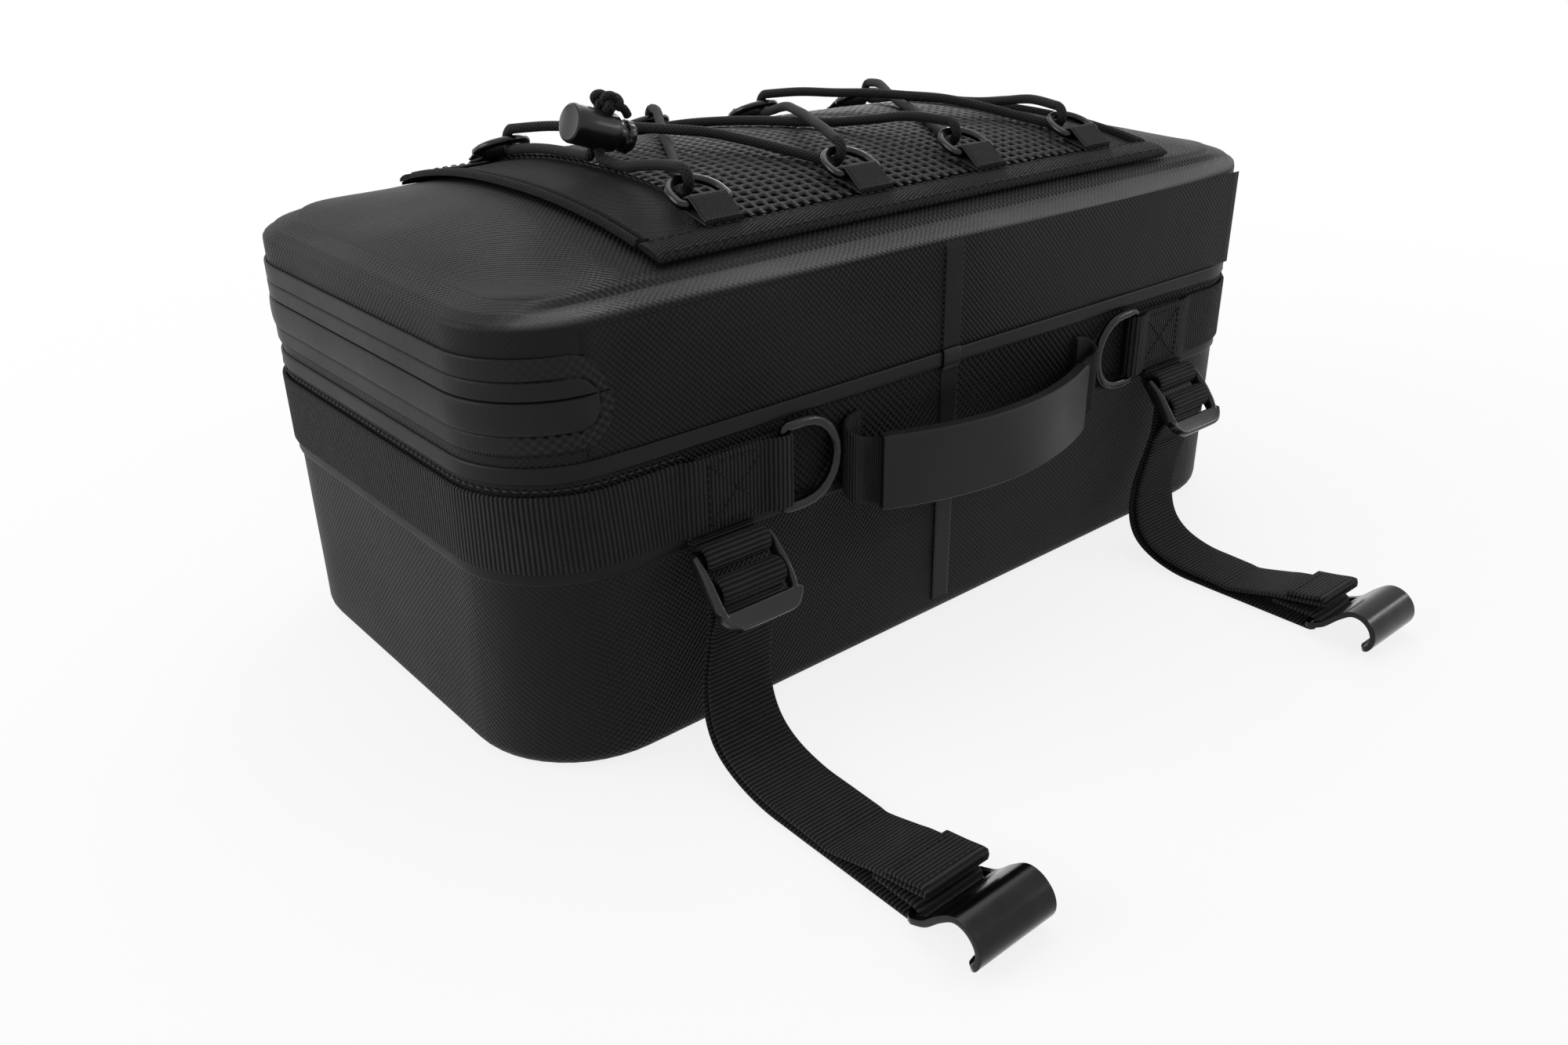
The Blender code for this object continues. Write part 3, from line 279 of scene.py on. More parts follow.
coatedFabric("wallFabric", 0.0150, 1.3, 0.075, 0.46)
coatedFabric("openFabric", 0.0110, 2.0, 0.08, 0.60, pitch=2.0)
coatedFabric("liningFabric", 0.030, 0.3, 0.20, 0.62)
coatedFabric("zipCover", 0.0152, 1.6, 0.11, 0.44, pitch=2.2, toothed=True)
smoothTrim("weldTrim", 0.0115, 0.42, 0.12)
smoothTrim("seamTape", 0.0150, 0.42, 0.14)
ribbedWebbing("bandWebbing", 0.0135, 1.5, 0.0007)
ribbedWebbing("strapWebbing", 0.0165, 1.45, 0.0006)
ribbedWebbing("tabWebbing", 0.0190, 1.45, 0.0006)
ribbedWebbing("handleWebbing", 0.0140, 0.85)
ribbedWebbing("laceTabWebbing", 0.0170, 0.85, 0.0004, lengthwise=True)
herringbone("bindingWebbing", 0.0068)
twill("panelTwill", 0.0070, 1.0)
smoothTrim("netStrand", 0.0175, 0.50, 0.20, 0.00005)
smoothTrim("mouldedPlastic", 0.0120, 0.27, 0.34, 0.00003)
smoothTrim("gripRubber", 0.0190, 0.44, 0.16, 0.00003)
blackSteel("satinSteel", 0.0175, 0.20, 0.90)
blackSteel("ringSteel", 0.022, 0.24, 0.85)
braid("elasticBraid", 0.0180)
smoothTrim("thread", 0.007, 0.6, 0.2)
smoothTrim("paleThread", 0.034, 0.6, 0.2)
print("finishes made:", len(finishes))

# mesh makers


sameSpot = 1e-7


def newPiece(name, points, faces, uvs, finish, sharp=40):
    mesh = bpy.data.meshes.new(name)
    mesh.from_pydata([tuple(p) for p in points], [], faces)
    layer = mesh.uv_layers.new(name="cloth")
    layer.data.foreach_set("uv", [c for uv in uvs for c in uv])
    piece = linked(name, mesh)
    mesh.materials.append(finishes[finish])
    mesh.shade_smooth()
    mesh.set_sharp_from_angle(angle=radians(sharp))
    return piece


def opened(piece):  # its mesh, to be changed and put back
    work = bmesh.new()
    work.from_mesh(piece.data)
    work.verts.ensure_lookup_table()
    return work


def putBack(work, piece):
    work.to_mesh(piece.data)
    work.free()


def closeUp(piece, layOut):
    # joins the ends of a piece that is folded over, fills its openings and lays its cloth out afresh
    work = opened(piece)
    bmesh.ops.remove_doubles(work, verts=work.verts, dist=sameSpot)
    bmesh.ops.holes_fill(work, edges=[e for e in work.edges if e.is_boundary], sides=0)
    bmesh.ops.recalc_face_normals(work, faces=work.faces)
    layer = work.loops.layers.uv["cloth"]
    for face in work.faces:
        for loop in face.loops:
            loop[layer].uv = layOut(loop.vert.co, loop[layer].uv)
    putBack(work, piece)


def settled(blank):  # the mesh that an object's modifiers make of it
    bpy.context.view_layer.update()
    return bpy.data.meshes.new_from_object(blank.evaluated_get(bpy.context.evaluated_depsgraph_get()))


def netOf(name, rows, down, along, finish, closed=False, caps=False, marks=None, sharp=50):
    # quads between rows of points; down is a length for each row, along one for each column
    count = len(rows[0])
    points = [p for row in rows for p in row]
    faces, uvs = [], []
    for i in range(len(rows) - 1):
        for j in range(count if closed else count - 1):
            k = (j + 1) % count
            faces.append((i * count + j, i * count + k, (i + 1) * count + k, (i + 1) * count + j))
            uvs += [(down[i], along[j]), (down[i], along[j + 1]),
                    (down[i + 1], along[j + 1]), (down[i + 1], along[j])]
    if caps:
        last = (len(rows) - 1) * count
        faces += [tuple(range(count - 1, -1, -1)), tuple(last + j for j in range(count))]
        uvs += [(down[0], along[j]) for j in range(count - 1, -1, -1)]
        uvs += [(down[-1], along[j]) for j in range(count)]
    piece = newPiece(name, points, faces, uvs, finish, sharp=sharp)
    if marks:
        keep(piece, "weave", [m for row in marks for m in row])
    return piece


def keep(piece, name, values):  # a number for each point, read by the finishes
    kept = piece.data.attributes.new(name, "FLOAT", "POINT")
    kept.data.foreach_set("value", values)


def eased(points, step):
    # even places on a smooth line through the given ones, which may hold more than three numbers
    dense = []
    last = len(points) - 1
    for i in range(last):
        p, q, r, s = (points[max(i - 1, 0)], points[i], points[i + 1], points[min(i + 2, last)])
        for k in range(10):
            t = k / 10
            dense.append(tuple(0.5 * (2 * b + (c - a) * t + (2 * a - 5 * b + 4 * c - d) * t * t
                                      + (3 * b - a - 3 * c + d) * t ** 3)
                               for a, b, c, d in zip(p, q, r, s)))
    dense.append(tuple(points[-1]))
    gaps = [sqrt(sum((b - a) ** 2 for a, b in zip(m[:3], n[:3]))) for m, n in zip(dense, dense[1:])]
    count = max(2, round(sum(gaps) / step))
    even, at, run, target = [dense[0]], 0, 0.0, sum(gaps) / count
    for gap, m, n in zip(gaps, dense, dense[1:]):
        while run + gap >= target * len(even) and len(even) < count:
            t = (target * len(even) - run) / gap
            even.append(tuple(a + (b - a) * t for a, b in zip(m, n)))
        run += gap
    even.append(dense[-1])
    return even


def span(a, b, cuts):
    return [a + (b - a) * k / cuts for k in range(cuts + 1)]


def runs(points):
    total, found = 0.0, [0.0]
    for a, b in zip(points, points[1:]):
        total += (Vector(b[:3]) - Vector(a[:3])).length
        found.append(total)
    return found


def flatRuns(pairs):
    total, found = 0.0, [0.0]
    for (a, b), (c, d) in zip(pairs, pairs[1:]):
        total += sqrt((c - a) ** 2 + (d - b) ** 2)
        found.append(total)
    return found


def flatSection(half, thick, cuts=8, soft=0.45):
    edge = min(thick * soft, half * 0.3)
    top = [(-half + edge + 2 * (half - edge) * k / cuts, thick / 2) for k in range(cuts + 1)]
    return ([(-half, thick * 0.2)] + top + [(half, thick * 0.2), (half, -thick * 0.2)]
            + [(a, -b) for a, b in reversed(top)] + [(-half, -thick * 0.2)])


def swept(name, middle, acrosses, section, finish, caps=True, facing=1, sharp=50, shape=None):
    # a section carried along a line; each place has its own direction across
    rows, lengths = [], runs(middle)
    count = len(middle)
    for i, (place, side) in enumerate(zip(middle, acrosses)):
        ahead = Vector(middle[min(i + 1, count - 1)]) - Vector(middle[max(i - 1, 0)])
        side = Vector(side).normalized()
        rise = ahead.cross(side).normalized() * facing
        here = shape(i / (count - 1), section) if shape else section
        rows.append([Vector(place) + side * a + rise * b for a, b in here])
    edge = [a for a, b in section] + [section[0][0]]
    return netOf(name, rows, lengths, edge, finish, closed=True, caps=caps, sharp=sharp)


def ribbonPiece(name, low, high, thick, finish, step=0.0012, facing=1, cuts=8, shape=None):
    # webbing between its two edges' lines
    pairs = [tuple((Vector(a) + Vector(b)) / 2) + tuple(Vector(b) - Vector(a)) for a, b in zip(low, high)]
    pairs = eased(pairs, step)
    middle = [p[:3] for p in pairs]
    sides = [p[3:] for p in pairs]
    half = Vector(sides[0]).length / 2
    return swept(name, middle, sides, flatSection(half, thick, cuts), finish, facing=facing, shape=shape)


def tubePiece(name, line, radius, finish, sides=12, closed=False, flat=1.0, swell=None, start=None):
    # a round or flattened bar along a line, with no twist
    line = [Vector(p[:3]) for p in line]
    count = len(line)
    rows, lengths = [], runs(line + ([line[0]] if closed else []))
    side = None
    for i, place in enumerate(line):
        if closed:
            ahead = line[(i + 1) % count] - line[i - 1]
        else:
            ahead = line[min(i + 1, count - 1)] - line[max(i - 1, 0)]
        ahead.normalize()
        if side is None:
            side = Vector(start) if start else ahead.orthogonal()
        side = (side - ahead * side.dot(ahead)).normalized()
        rise = ahead.cross(side)
        size = radius * (swell[i] if swell else 1.0)
        turns = [2 * pi * k / sides for k in range(sides)]
        rows.append([place + side * size * cos(t) + rise * size * flat * sin(t) for t in turns])
    if closed:
        rows.append(rows[0])
    edge = [2 * pi * radius * k / sides for k in range(sides + 1)]
    piece = netOf(name, rows, lengths, edge, finish, closed=True, caps=not closed)
    if closed:
        work = opened(piece)
        bmesh.ops.remove_doubles(work, verts=work.verts, dist=sameSpot)
        putBack(work, piece)
    return piece


def stitches(name, body, spots, long=0.0021, gap=0.0011, radius=0.00024, finish="thread"):
    # raised stitches along a line of places, each with its way out of the cloth
    lengths = runs([p for p, out in spots])
    points, faces = [], []
    at = gap / 2
    while at + long < lengths[-1]:
        first = len(points)
        for share, size, up in ((0, 0.4, -0.4), (0.18, 1, 0.5), (0.82, 1, 0.5), (1, 0.4, -0.4)):
            here = at + long * share
            k = next(i for i in range(1, len(lengths)) if lengths[i] >= here)
            part = (here - lengths[k - 1]) / (lengths[k] - lengths[k - 1])
            spot = spots[k - 1][0].lerp(spots[k][0], part)
            out = spots[k - 1][1].lerp(spots[k][1], part).normalized()
            side = (spots[k][0] - spots[k - 1][0]).cross(out).normalized()
            middle, turns = spot + out * radius * up, [2 * pi * m / 5 for m in range(5)]
            points += [middle + (side * cos(t) + out * sin(t)) * radius * size for t in turns]
        for row in range(3):
            for m in range(5):
                a, b = first + row * 5 + m, first + row * 5 + (m + 1) % 5
                faces.append((a, b, b + 5, a + 5))
        faces += [tuple(first + m for m in range(4, -1, -1)), tuple(first + 15 + m for m in range(5))]
        at += long + gap
    piece = newPiece(name, points, faces, [(0, 0) for face in faces for p in face], finish, sharp=180)
    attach(piece, body)
    return piece


def place(piece, body, slotName, *nodes):
    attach(piece, body)
    if nodes:
        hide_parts(*nodes)
    return piece


def within(value, low, high):  # soft step from low to high
    share = min(max((value - low) / (high - low), 0.0), 1.0)
    return share * share * (3 - 2 * share)


# shape of the bag

bag = {"halfLength": 0.1875, "halfWidth": 0.09625, "rim": 0.148, "split": 0.124, "wall": 0.0022,
       "bottomCorner": 0.041, "rimCorner": 0.042, "tightCorner": 0.0285, "bottomRound": 0.006,
       "rimRound": 0.0026, "border": 0.011, "borderRise": 0.0035, "domeRise": 0.0148, "domeLong": 4.0,
       "domeCross": 2.3,
       "sideBorder": 0.0085, "shoulder": 0.0025, "shoulderWide": 0.0036}


def dome(x, y):
    along = 1 - min(abs(x) / (bag["halfLength"] - bag["border"]), 1) ** bag["domeLong"]
    edge = bag["halfWidth"] - bag["sideBorder"]
    over = 1 - min(abs(y) / edge, 1) ** bag["domeCross"]
    turn = min(max(1 + (abs(y) - edge) / bag["shoulderWide"], 0), 1)
    return bag["rim"] + bag["borderRise"] + bag["domeRise"] * along * over - bag["shoulder"] * turn ** 1.6


def cornerRadius(sx, sy, z):
    rim = bag["tightCorner"] if sx < 0 and sy < 0 else bag["rimCorner"]
    return bag["bottomCorner"] + (rim - bag["bottomCorner"]) * min(z / bag["rim"], 1)


def ring(z, out=0.0, inset=0.0, arcs=12, longs=48, ends=22, arcZ=None):
    # closed plan outline, from the middle of the handle side by way of the right end
    tall = z if arcZ is None else arcZ
    places = [Vector((0, -bag["halfWidth"] + inset - out, z))]
    corners = ((1, -1, -90, longs // 2), (1, 1, 0, ends), (-1, 1, 90, longs), (-1, -1, 180, ends))
    for sx, sy, first, cuts in corners:
        radius = max(cornerRadius(sx, sy, tall) - inset, 0.004)
        cx, cy = sx * (bag["halfLength"] - inset - radius), sy * (bag["halfWidth"] - inset - radius)
        reach = radius + out
        arc = [Vector((cx + reach * cos(radians(first + 90 * k / arcs)),
                       cy + reach * sin(radians(first + 90 * k / arcs)), z)) for k in range(arcs + 1)]
        before = places[-1]
        places += [before.lerp(arc[0], k / cuts) for k in range(1, cuts)] + arc
    before, after = places[-1], places[0]
    places += [before.lerp(after, k / (longs // 2)) for k in range(1, longs // 2)]
    return places


ringRun = runs(ring(0.1) + [ring(0.1)[0]])
sideColumn = 40  # a place on the outline where the shells' profiles are measured


def weaveAt(p):
    # how strongly the weave shows through the coating
    cornered = within(abs(p.x), 0.142, 0.166) * within(abs(p.y), 0.050, 0.080)
    strength = 1.0 - 0.6 * cornered
    if p.y < -0.09:
        strength *= 1.0 - 0.55 * within(p.x, -0.02, 0.02)
    if p.x < -0.18:
        strength *= 0.65 if p.z < 0.07 or p.z > 0.137 else 0.2
    return strength


def shellPiece(name, profile, finish, marks=True, closedTop=False, arcZ=None):
    # profile rows: height, out, inset
    rows = [ring(z, out, inset, arcZ=arcZ) for z, out, inset in profile]
    down = flatRuns([(z, out - inset) for z, out, inset in profile])
    shades = [[weaveAt(p) for p in row] for row in rows] if marks else None
    return netOf(name, rows, down, ringRun, finish, closed=True, marks=shades, sharp=60)


def capRow(work, number, under=False):  # one face over a row of the shell's points
    count = len(ringRun) - 1
    spots = [number * count + j for j in range(count)]
    return work.faces.new([work.verts[j] for j in (reversed(spots) if under else spots)])


# tub

tub = {"weldLow": 0.0688, "weldHigh": 0.0722, "weldOut": 0.0003, "dent": 0.0012}

profile = [(0.0, 0, i) for i in (0.06, 0.03, 0.016)]
turns = [pi / 2 * k / 6 for k in range(7)]
profile += [(bag["bottomRound"] * (1 - cos(t)), 0, bag["bottomRound"] * (1 - sin(t))) for t in turns]
profile += [(z, 0, 0) for z in (0.015, 0.022, 0.029, 0.036, 0.043, 0.050, 0.057, 0.063, 0.0678)]
profile += [(tub["weldLow"], tub["weldOut"], 0), (tub["weldHigh"], tub["weldOut"], 0), (0.0730, 0.0, 0)]
profile += [(z, 0, 0) for z in (0.0785, 0.086, 0.0935, 0.1003, 0.1035, 0.1073, 0.113, 0.119, 0.1235)]
profile += [(0.1237, -0.0005, 0), (0.1236, -0.0014, 0), (0.1228, -bag["wall"], 0)]
profile += [(z, -bag["wall"], 0) for z in (0.11, 0.08, 0.05, 0.02, 0.011)]
profile += [(0.0045, -0.003, 0.002), (0.0024, -0.003, 0.008), (0.0022, -0.003, 0.03), (0.0022, -0.003, 0.06)]
tubSkin = shellPiece("tubSkin", profile, "wallFabric")
for vertex in tubSkin.data.vertices:
    p = vertex.co
    low = within(p.z, 0.012, 0.03) * (1 - within(p.z, 0.052, 0.066))
    if low > 0 and max(abs(p.x) / bag["halfLength"], abs(p.y) / bag["halfWidth"]) > 0.985:
        wave = noise.noise(Vector((p.x * 22, p.y * 22, p.z * 16 + 3)))
        inward = Vector((-p.x, -p.y, 0)).normalized() * (0.5 + 0.5 * wave) * tub["dent"] * low
        vertex.co = p + inward
work = opened(tubSkin)
capRow(work, 0, under=True)
putBack(work, tubSkin)
place(tubSkin, "bag_body", "shell", "body_shell")

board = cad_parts["base_board"]
board.material_slots[0].material = finishes["liningFabric"]

ledge = {"low": 0.101, "high": 0.1065, "near": 0.0002, "far": 0.0010}
low, high, far = ledge["low"], ledge["high"], ledge["far"]
section = [(high, ledge["near"]), (high, far - 0.0008), (high - 0.0003, far - 0.0003),
           (high - 0.0009, far - 0.0001), (low + 0.0014, far - 0.0002), (low + 0.0007, far),
           (low + 0.0002, far - 0.0003), (low, far - 0.0008), (low, ledge["near"])]
ledgePiece = shellPiece("weldLedge", [(z, out, 0) for z, out in reversed(section)], "weldTrim", marks=False)
place(ledgePiece, "bag_body", "trim", "weld_flange")
strip = [(0.0722, 0.0003), (0.0722, 0.0007), (0.0718, 0.0009), (0.0694, 0.0009), (0.0688, 0.0010),
         (0.0684, 0.0008), (0.0683, 0.0003)]
weldStrip = shellPiece("weldStrip", [(z, out, 0) for z, out in reversed(strip)], "weldTrim", marks=False)
place(weldStrip, "bag_body", "trim")
print("tub made")

# lid

# ripple and droop shape the lid; the other three numbers paint light into its colour: a lighter top where
# light falls from above, a painted highlight along the front border and painted shade over the dome's left
# end
lid = {"ripple": 0.0006, "paintedTopLight": 0.25, "paintedBorderHighlight": 6.0, "paintedEndShade": 0.5,
       "droop": [(-0.13, 0), (-0.088, 0.0006), (-0.019, 0.0012), (0.021, 0.0020), (0.085, 0.0033),
                 (0.132, 0.0020), (0.175, 0)]}


def droop(p):  # the edge over the handle hangs a little
    low = 0.0
    for (x, fall), (x2, fall2) in zip(lid["droop"], lid["droop"][1:]):
        if x <= p.x < x2:
            low = fall + (fall2 - fall) * (p.x - x) / (x2 - x)
    return low * within(-p.y, 0.0865, 0.0945) * within(p.z, 0.1390, 0.1470)


def borderPoint(p, inset):  # between the rim and the dome, with a fine crease
    slope = bag["rim"] + 0.0002 + (bag["borderRise"] - 0.0002) * min(inset / bag["border"], 1)
    slope -= 0.00022 * max(0.0, 1 - abs(inset - bag["border"]) / 0.0004)
    across = bag["halfWidth"] - abs(p.y)
    if across < bag["sideBorder"] + 0.00001:
        level = bag["rim"] + 0.0001 + 0.0009 * across / bag["sideBorder"]
        level += 0.0002 * max(0.0, 1 - abs(across - bag["sideBorder"] + 0.0002) / 0.0005)
    else:
        level = dome(p.x, p.y)
    return Vector((p.x, p.y, min(slope, level)))


profile = [(0.1300, -bag["wall"], 0), (0.1252, -bag["wall"], 0), (0.1244, -0.0016, 0), (0.1243, -0.0006, 0),
           (0.1245, 0, 0)]
profile += [(z, 0, 0) for z in (0.128, 0.132, 0.1372, 0.1388, 0.1412, 0.1436, 0.1452)]
for k in range(1, 8):
    turn = pi / 2 * k / 8
    profile.append((bag["rim"] - bag["rimRound"] * (1 - sin(turn)), 0, bag["rimRound"] * (1 - cos(turn))))
lidRows = [ring(z, out, inset) for z, out, inset in profile]
for inset in (0.0040, 0.0050, 0.0060, 0.0070, 0.0078, 0.0082, 0.0085, 0.0088, 0.0092, 0.0097, 0.0102,
              0.0106, 0.0110, 0.0114):
    lidRows.append([borderPoint(p, inset) for p in ring(bag["rim"], 0, inset)])
insets = (0.0128, 0.015, 0.018, 0.022, 0.027, 0.033, 0.040, 0.048, 0.056, 0.064, 0.072, 0.080, 0.088, 0.0935)
for inset in insets:
    lidRows.append([Vector((p.x, p.y, dome(p.x, p.y))) for p in ring(bag["rim"], 0, inset)])
down = runs([row[sideColumn] for row in lidRows])
marks = [[weaveAt(p) * (0.45 if p.z > 0.1515 else (1.0 if p.z > 0.148 else 0.8)) for p in row]
         for row in lidRows]
# painted light on the lid: above the rim its colour is made lighter overall, much lighter along the front
# border as a painted highlight (less so towards the left end), and darker over the dome's left end as painted
# shade
pale = []
for row in lidRows:
    for p in row:
        border = 0.30 * within(-p.y, 0.0835, 0.0850) + 0.70 * within(-p.y, 0.0873, 0.0879)
        border *= 1 - 0.45 * within(-p.x, 0.085, 0.145)
        leftEnd = within(p.z, 0.1510, 0.1530) * within(-p.x, 0.095, 0.150)
        amount = lid["paintedTopLight"] + lid["paintedBorderHighlight"] * border - lid["paintedEndShade"] * leftEnd
        pale.append(within(p.z, 0.1460, 0.1474) * amount)
for row in lidRows[-len(insets):]:
    for p in row:
        free = within(abs(p.x), 0.127, 0.136) * (1 - within(abs(p.x), 0.168, 0.176))
        p.z += lid["ripple"] * free * noise.noise(Vector((p.x * 34, p.y * 30, 2.0)))
for row in lidRows[5:]:
    for p in row:
        p.z -= droop(p)
lidSkin = netOf("lidSkin", lidRows, down, ringRun, "wallFabric", closed=True, marks=marks, sharp=70)
keep(lidSkin, "pale", pale)
work = opened(lidSkin)
capRow(work, len(lidRows) - 1)
uvLayer = work.loops.layers.uv["cloth"]
for face in work.faces:  # the dome's weave is laid out flat, as seen from above
    if all(v.co.z > 0.1485 for v in face.verts) and face.normal.z > 0.3:
        for loop in face.loops:
            loop[uvLayer].uv = (loop.vert.co.x, loop.vert.co.y)
putBack(work, lidSkin)
place(lidSkin, "lid", "shell", "lid_shell")



def liningHeight(p, inset):
    if inset < 0.001:
        return 0.1300 + inset * 20
    return dome(p.x, p.y) - bag["wall"] - (0.0012 if inset < 0.004 else 0)


inner = []
for inset in (0.0, 0.0005, 0.003, 0.009, 0.018, 0.030, 0.045, 0.060, 0.075, 0.088):
    row = ring(bag["rim"], -bag["wall"], inset)
    inner.append([Vector((p.x, p.y, liningHeight(p, inset))) for p in row])
    for p in inner[-1]:
        p.z -= 1.15 * droop(p + Vector((0, -0.0025, 0.002))) * (p.z > 0.14)
down = runs([row[sideColumn] for row in inner])
lidLining = netOf("lidLining", [row[::-1] for row in inner], down, ringRun, "liningFabric", closed=True,
                  marks=[[0.3] * len(inner[0])] * len(inner), sharp=70)
work = opened(lidLining)
bmesh.ops.triangulate(work, faces=[capRow(work, len(inner) - 1)], ngon_method="BEAUTY")
putBack(work, lidLining)
place(lidLining, "lid", "shell")
print("lid made")

# zip and its welded covers

zipper = {"end": 0.1522, "podStart": 0.0038, "low": 0.1096, "split": 0.1260, "high": 0.1386, "sheet": 0.0010,
          "round": 0.0125, "pod": 0.0080, "podMiddle": 0.124, "groove": 0.00055, "ridge": 0.0007}


def zipStations():
    # places along the wall's outline, as shares of its points, close together near the two ends
    base = ring(zipper["podMiddle"], arcs=16)
    first = max(i for i, p in enumerate(base) if i < len(base) // 2 and p.y < 0 and p.x < zipper["end"])
    last = min(i for i, p in enumerate(base) if i > len(base) // 2 and p.y < 0 and p.x > -zipper["end"])
    start = first + (zipper["end"] - base[first].x) / (base[first + 1].x - base[first].x)
    finish = last - (zipper["end"] + base[last].x) / (base[last].x - base[last - 1].x)
    found, at = [start], start
    while at < finish:
        near = min(at - start, finish - at)
        at += 0.10 if near < 3.2 else (0.25 if near < 14 else 0.5)
        found.append(min(at, finish))
    spots = [base[int(f)].lerp(base[min(int(f) + 1, len(base) - 1)], f - int(f)) for f in found]
    return found, runs(spots)


def podAway(near, z):  # distance from the middle line of the pod, which ends in a half round
    side, past = abs(z - zipper["podMiddle"]), zipper["pod"] + zipper["podStart"] - near
    return side if past < 0 else sqrt(side ** 2 + past ** 2)


def zipBulge(near, z):
    # how far the cover stands off the wall, near being the distance from its closer end
    away = podAway(near, z)
    out = zipper["sheet"] * (0.5 + 0.5 * within(near, 0.004, 0.030))
    out -= zipper["groove"] * max(0.0, 1 - abs(away - zipper["pod"]) / 0.00055)
    if away < zipper["pod"]:
        out += 0.0003 * (1 - within(near, 0.010, 0.030))
        level = (z - 0.1211) / 0.0050
        if abs(level) < 1:
            inPod = within(near - zipper["podStart"], 0.0006, 0.0060)
            out += zipper["ridge"] * sqrt(1 - level * level) * inPod
        elif z > zipper["split"]:
            out += 0.0001
    if z < 0.1108:
        out -= 0.0003
    return out


def zipCover(name, low, high, body, node):
    shares, lengths = zipStations()
    total = lengths[-1]
    cuts = round((high - low) / 0.0003)
    levels = [low + (high - low) * k / cuts for k in range(cuts + 1)]
    fixed = high if body == "bag_body" else low
    outer = 0.003  # the wall's outline is read at the wall and this far out
    dense = {z: (ring(z, 0.0, arcs=16), ring(z, outer, arcs=16)) for z in levels}
    rows, marks = [], []
    for front in (True, False):
        for z in levels if front else reversed(levels):
            row, mark = [], []
            for share, run in zip(shares, lengths):
                near = min(run, total - run)
                squeeze = 1.0
                if near < zipper["round"]:
                    squeeze = sqrt(max(0.0, 1 - (1 - near / zipper["round"]) ** 2))
                real = fixed + (z - fixed) * max(squeeze, 0.04)
                edge = min(abs(z - levels[0]), abs(z - levels[-1]), near) / 0.0004
                if front:
                    out = zipBulge(near, real) - 0.0004 * max(0.0, 1 - edge)
                else:
                    out = 0.0001 + 0.0002 * (near > 0.0060)
                at = int(share)
                after = min(at + 1, len(dense[z][0]) - 1)
                onWall, offWall = (line[at].lerp(line[after], share - at) for line in dense[z])
                p = onWall + (offWall - onWall) * (out / outer)
                p.z = real
                row.append(p)
                mark.append((1 - within(near, 0.018, 0.036)) * (podAway(near, real) > zipper["pod"]))
            rows.append(row)
            marks.append(mark)
    rows.append(rows[0])
    marks.append(marks[0])
    down = levels + levels[::-1] + levels[:1]
    piece = netOf(name, rows, down, lengths, "zipCover", marks=marks, sharp=60)
    closeUp(piece, lambda spot, uv: (uv[1], spot.z))
    return place(piece, body, "trim", node)


zipCover("zipCoverUpper", zipper["split"] + 0.0003, zipper["high"], "lid", "zip_tape_upper")
zipCover("zipCoverLower", zipper["low"], zipper["split"], "bag_body", "zip_tape_lower")

# fabric of the handle side, one piece over the fold between tub and lid, with the seam's tape on it
fold = {"low": 0.1068, "high": 0.1446, "reach": 0.1610, "out": 0.0005, "tapeLeft": -0.0170,
        "tapeRight": -0.0083, "tape": 0.0005, "corner": cornerRadius(-1, -1, 0.126)}


def foldOut(x, z):
    left, right, reach, high = (fold[key] for key in ("tapeLeft", "tapeRight", "reach", "high"))
    fade = (1 - within(abs(x), reach - 0.020, reach - 0.004)) * (1 - within(z, high - 0.003, high))
    onTape = within(x, left - 0.0002, left + 0.0001) * (1 - within(x, right - 0.0002, right + 0.0003))
    groove = 0.0003 * max(0.0, 1 - abs(x - left + 0.0006) / 0.0005)
    return 0.0001 + (fold["out"] - 0.0001) * fade + (fold["tape"] * onTape - groove) * fade


seamXs = [fold["tapeLeft"] + d for d in (-0.0014, -0.0010, -0.0006, -0.0003, -0.0001, 0.0001, 0.0004, 0.0012)]
seamXs += [fold["tapeRight"] + d for d in (-0.0012, -0.0004, -0.0002, 0.0, 0.0003, 0.0008)]
xs = [x for x in span(-fold["reach"], fold["reach"], 100)
      if not fold["tapeLeft"] - 0.002 < x < fold["tapeRight"] + 0.0015]
xs = sorted(xs + seamXs)
zs = span(fold["low"], fold["high"], 26)


def foldWall(x):  # the wall's own bend near the corner
    past = max(0.0, -x - (bag["halfLength"] - fold["corner"]))
    return -bag["halfWidth"] + past * past / (2 * fold["corner"])


front = [[Vector((x, foldWall(x) - foldOut(x, z), z)) for x in xs] for z in zs]
back = [[Vector((x, foldWall(x) - 0.00005, z)) for x in xs] for z in zs]
rim = front + back[::-1] + [front[0]]
marks = [[weaveAt(p) * (0.05 if fold["tapeLeft"] < p.x < fold["tapeRight"] else 1.0) for p in row]
         for row in rim]
foldFabric = netOf("foldFabric", rim, runs([row[0] for row in rim]), xs, "wallFabric", marks=marks, sharp=60)
closeUp(foldFabric, lambda spot, uv: (spot.z, spot.x))
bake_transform(foldFabric)

# the seam's tape below the zip, over the ledge and down to the underside
wallY = -bag["halfWidth"]
tapeX = (fold["tapeLeft"] + fold["tapeRight"]) / 2
tapeHalf = (fold["tapeRight"] - fold["tapeLeft"]) / 2
route = [(0.0004, 0.0075), (0.0004, 0.020), (0.0004, 0.050), (0.0004, 0.067), (0.0009, 0.0688),
         (0.0009, 0.0720), (0.0004, 0.0735), (0.0004, 0.090), (0.0004, 0.0990), (0.0009, 0.1003),
         (0.0015, 0.1012), (0.0016, 0.1040), (0.0015, 0.1062), (0.0010, 0.1070)]
low = [Vector((tapeX - tapeHalf, wallY - out, z)) for out, z in route]
high = [Vector((tapeX + tapeHalf, wallY - out, z)) for out, z in route]
place(ribbonPiece("seamTape", low, high, 0.0004, "seamTape", 0.0012, facing=-1), "bag_body", "trim")

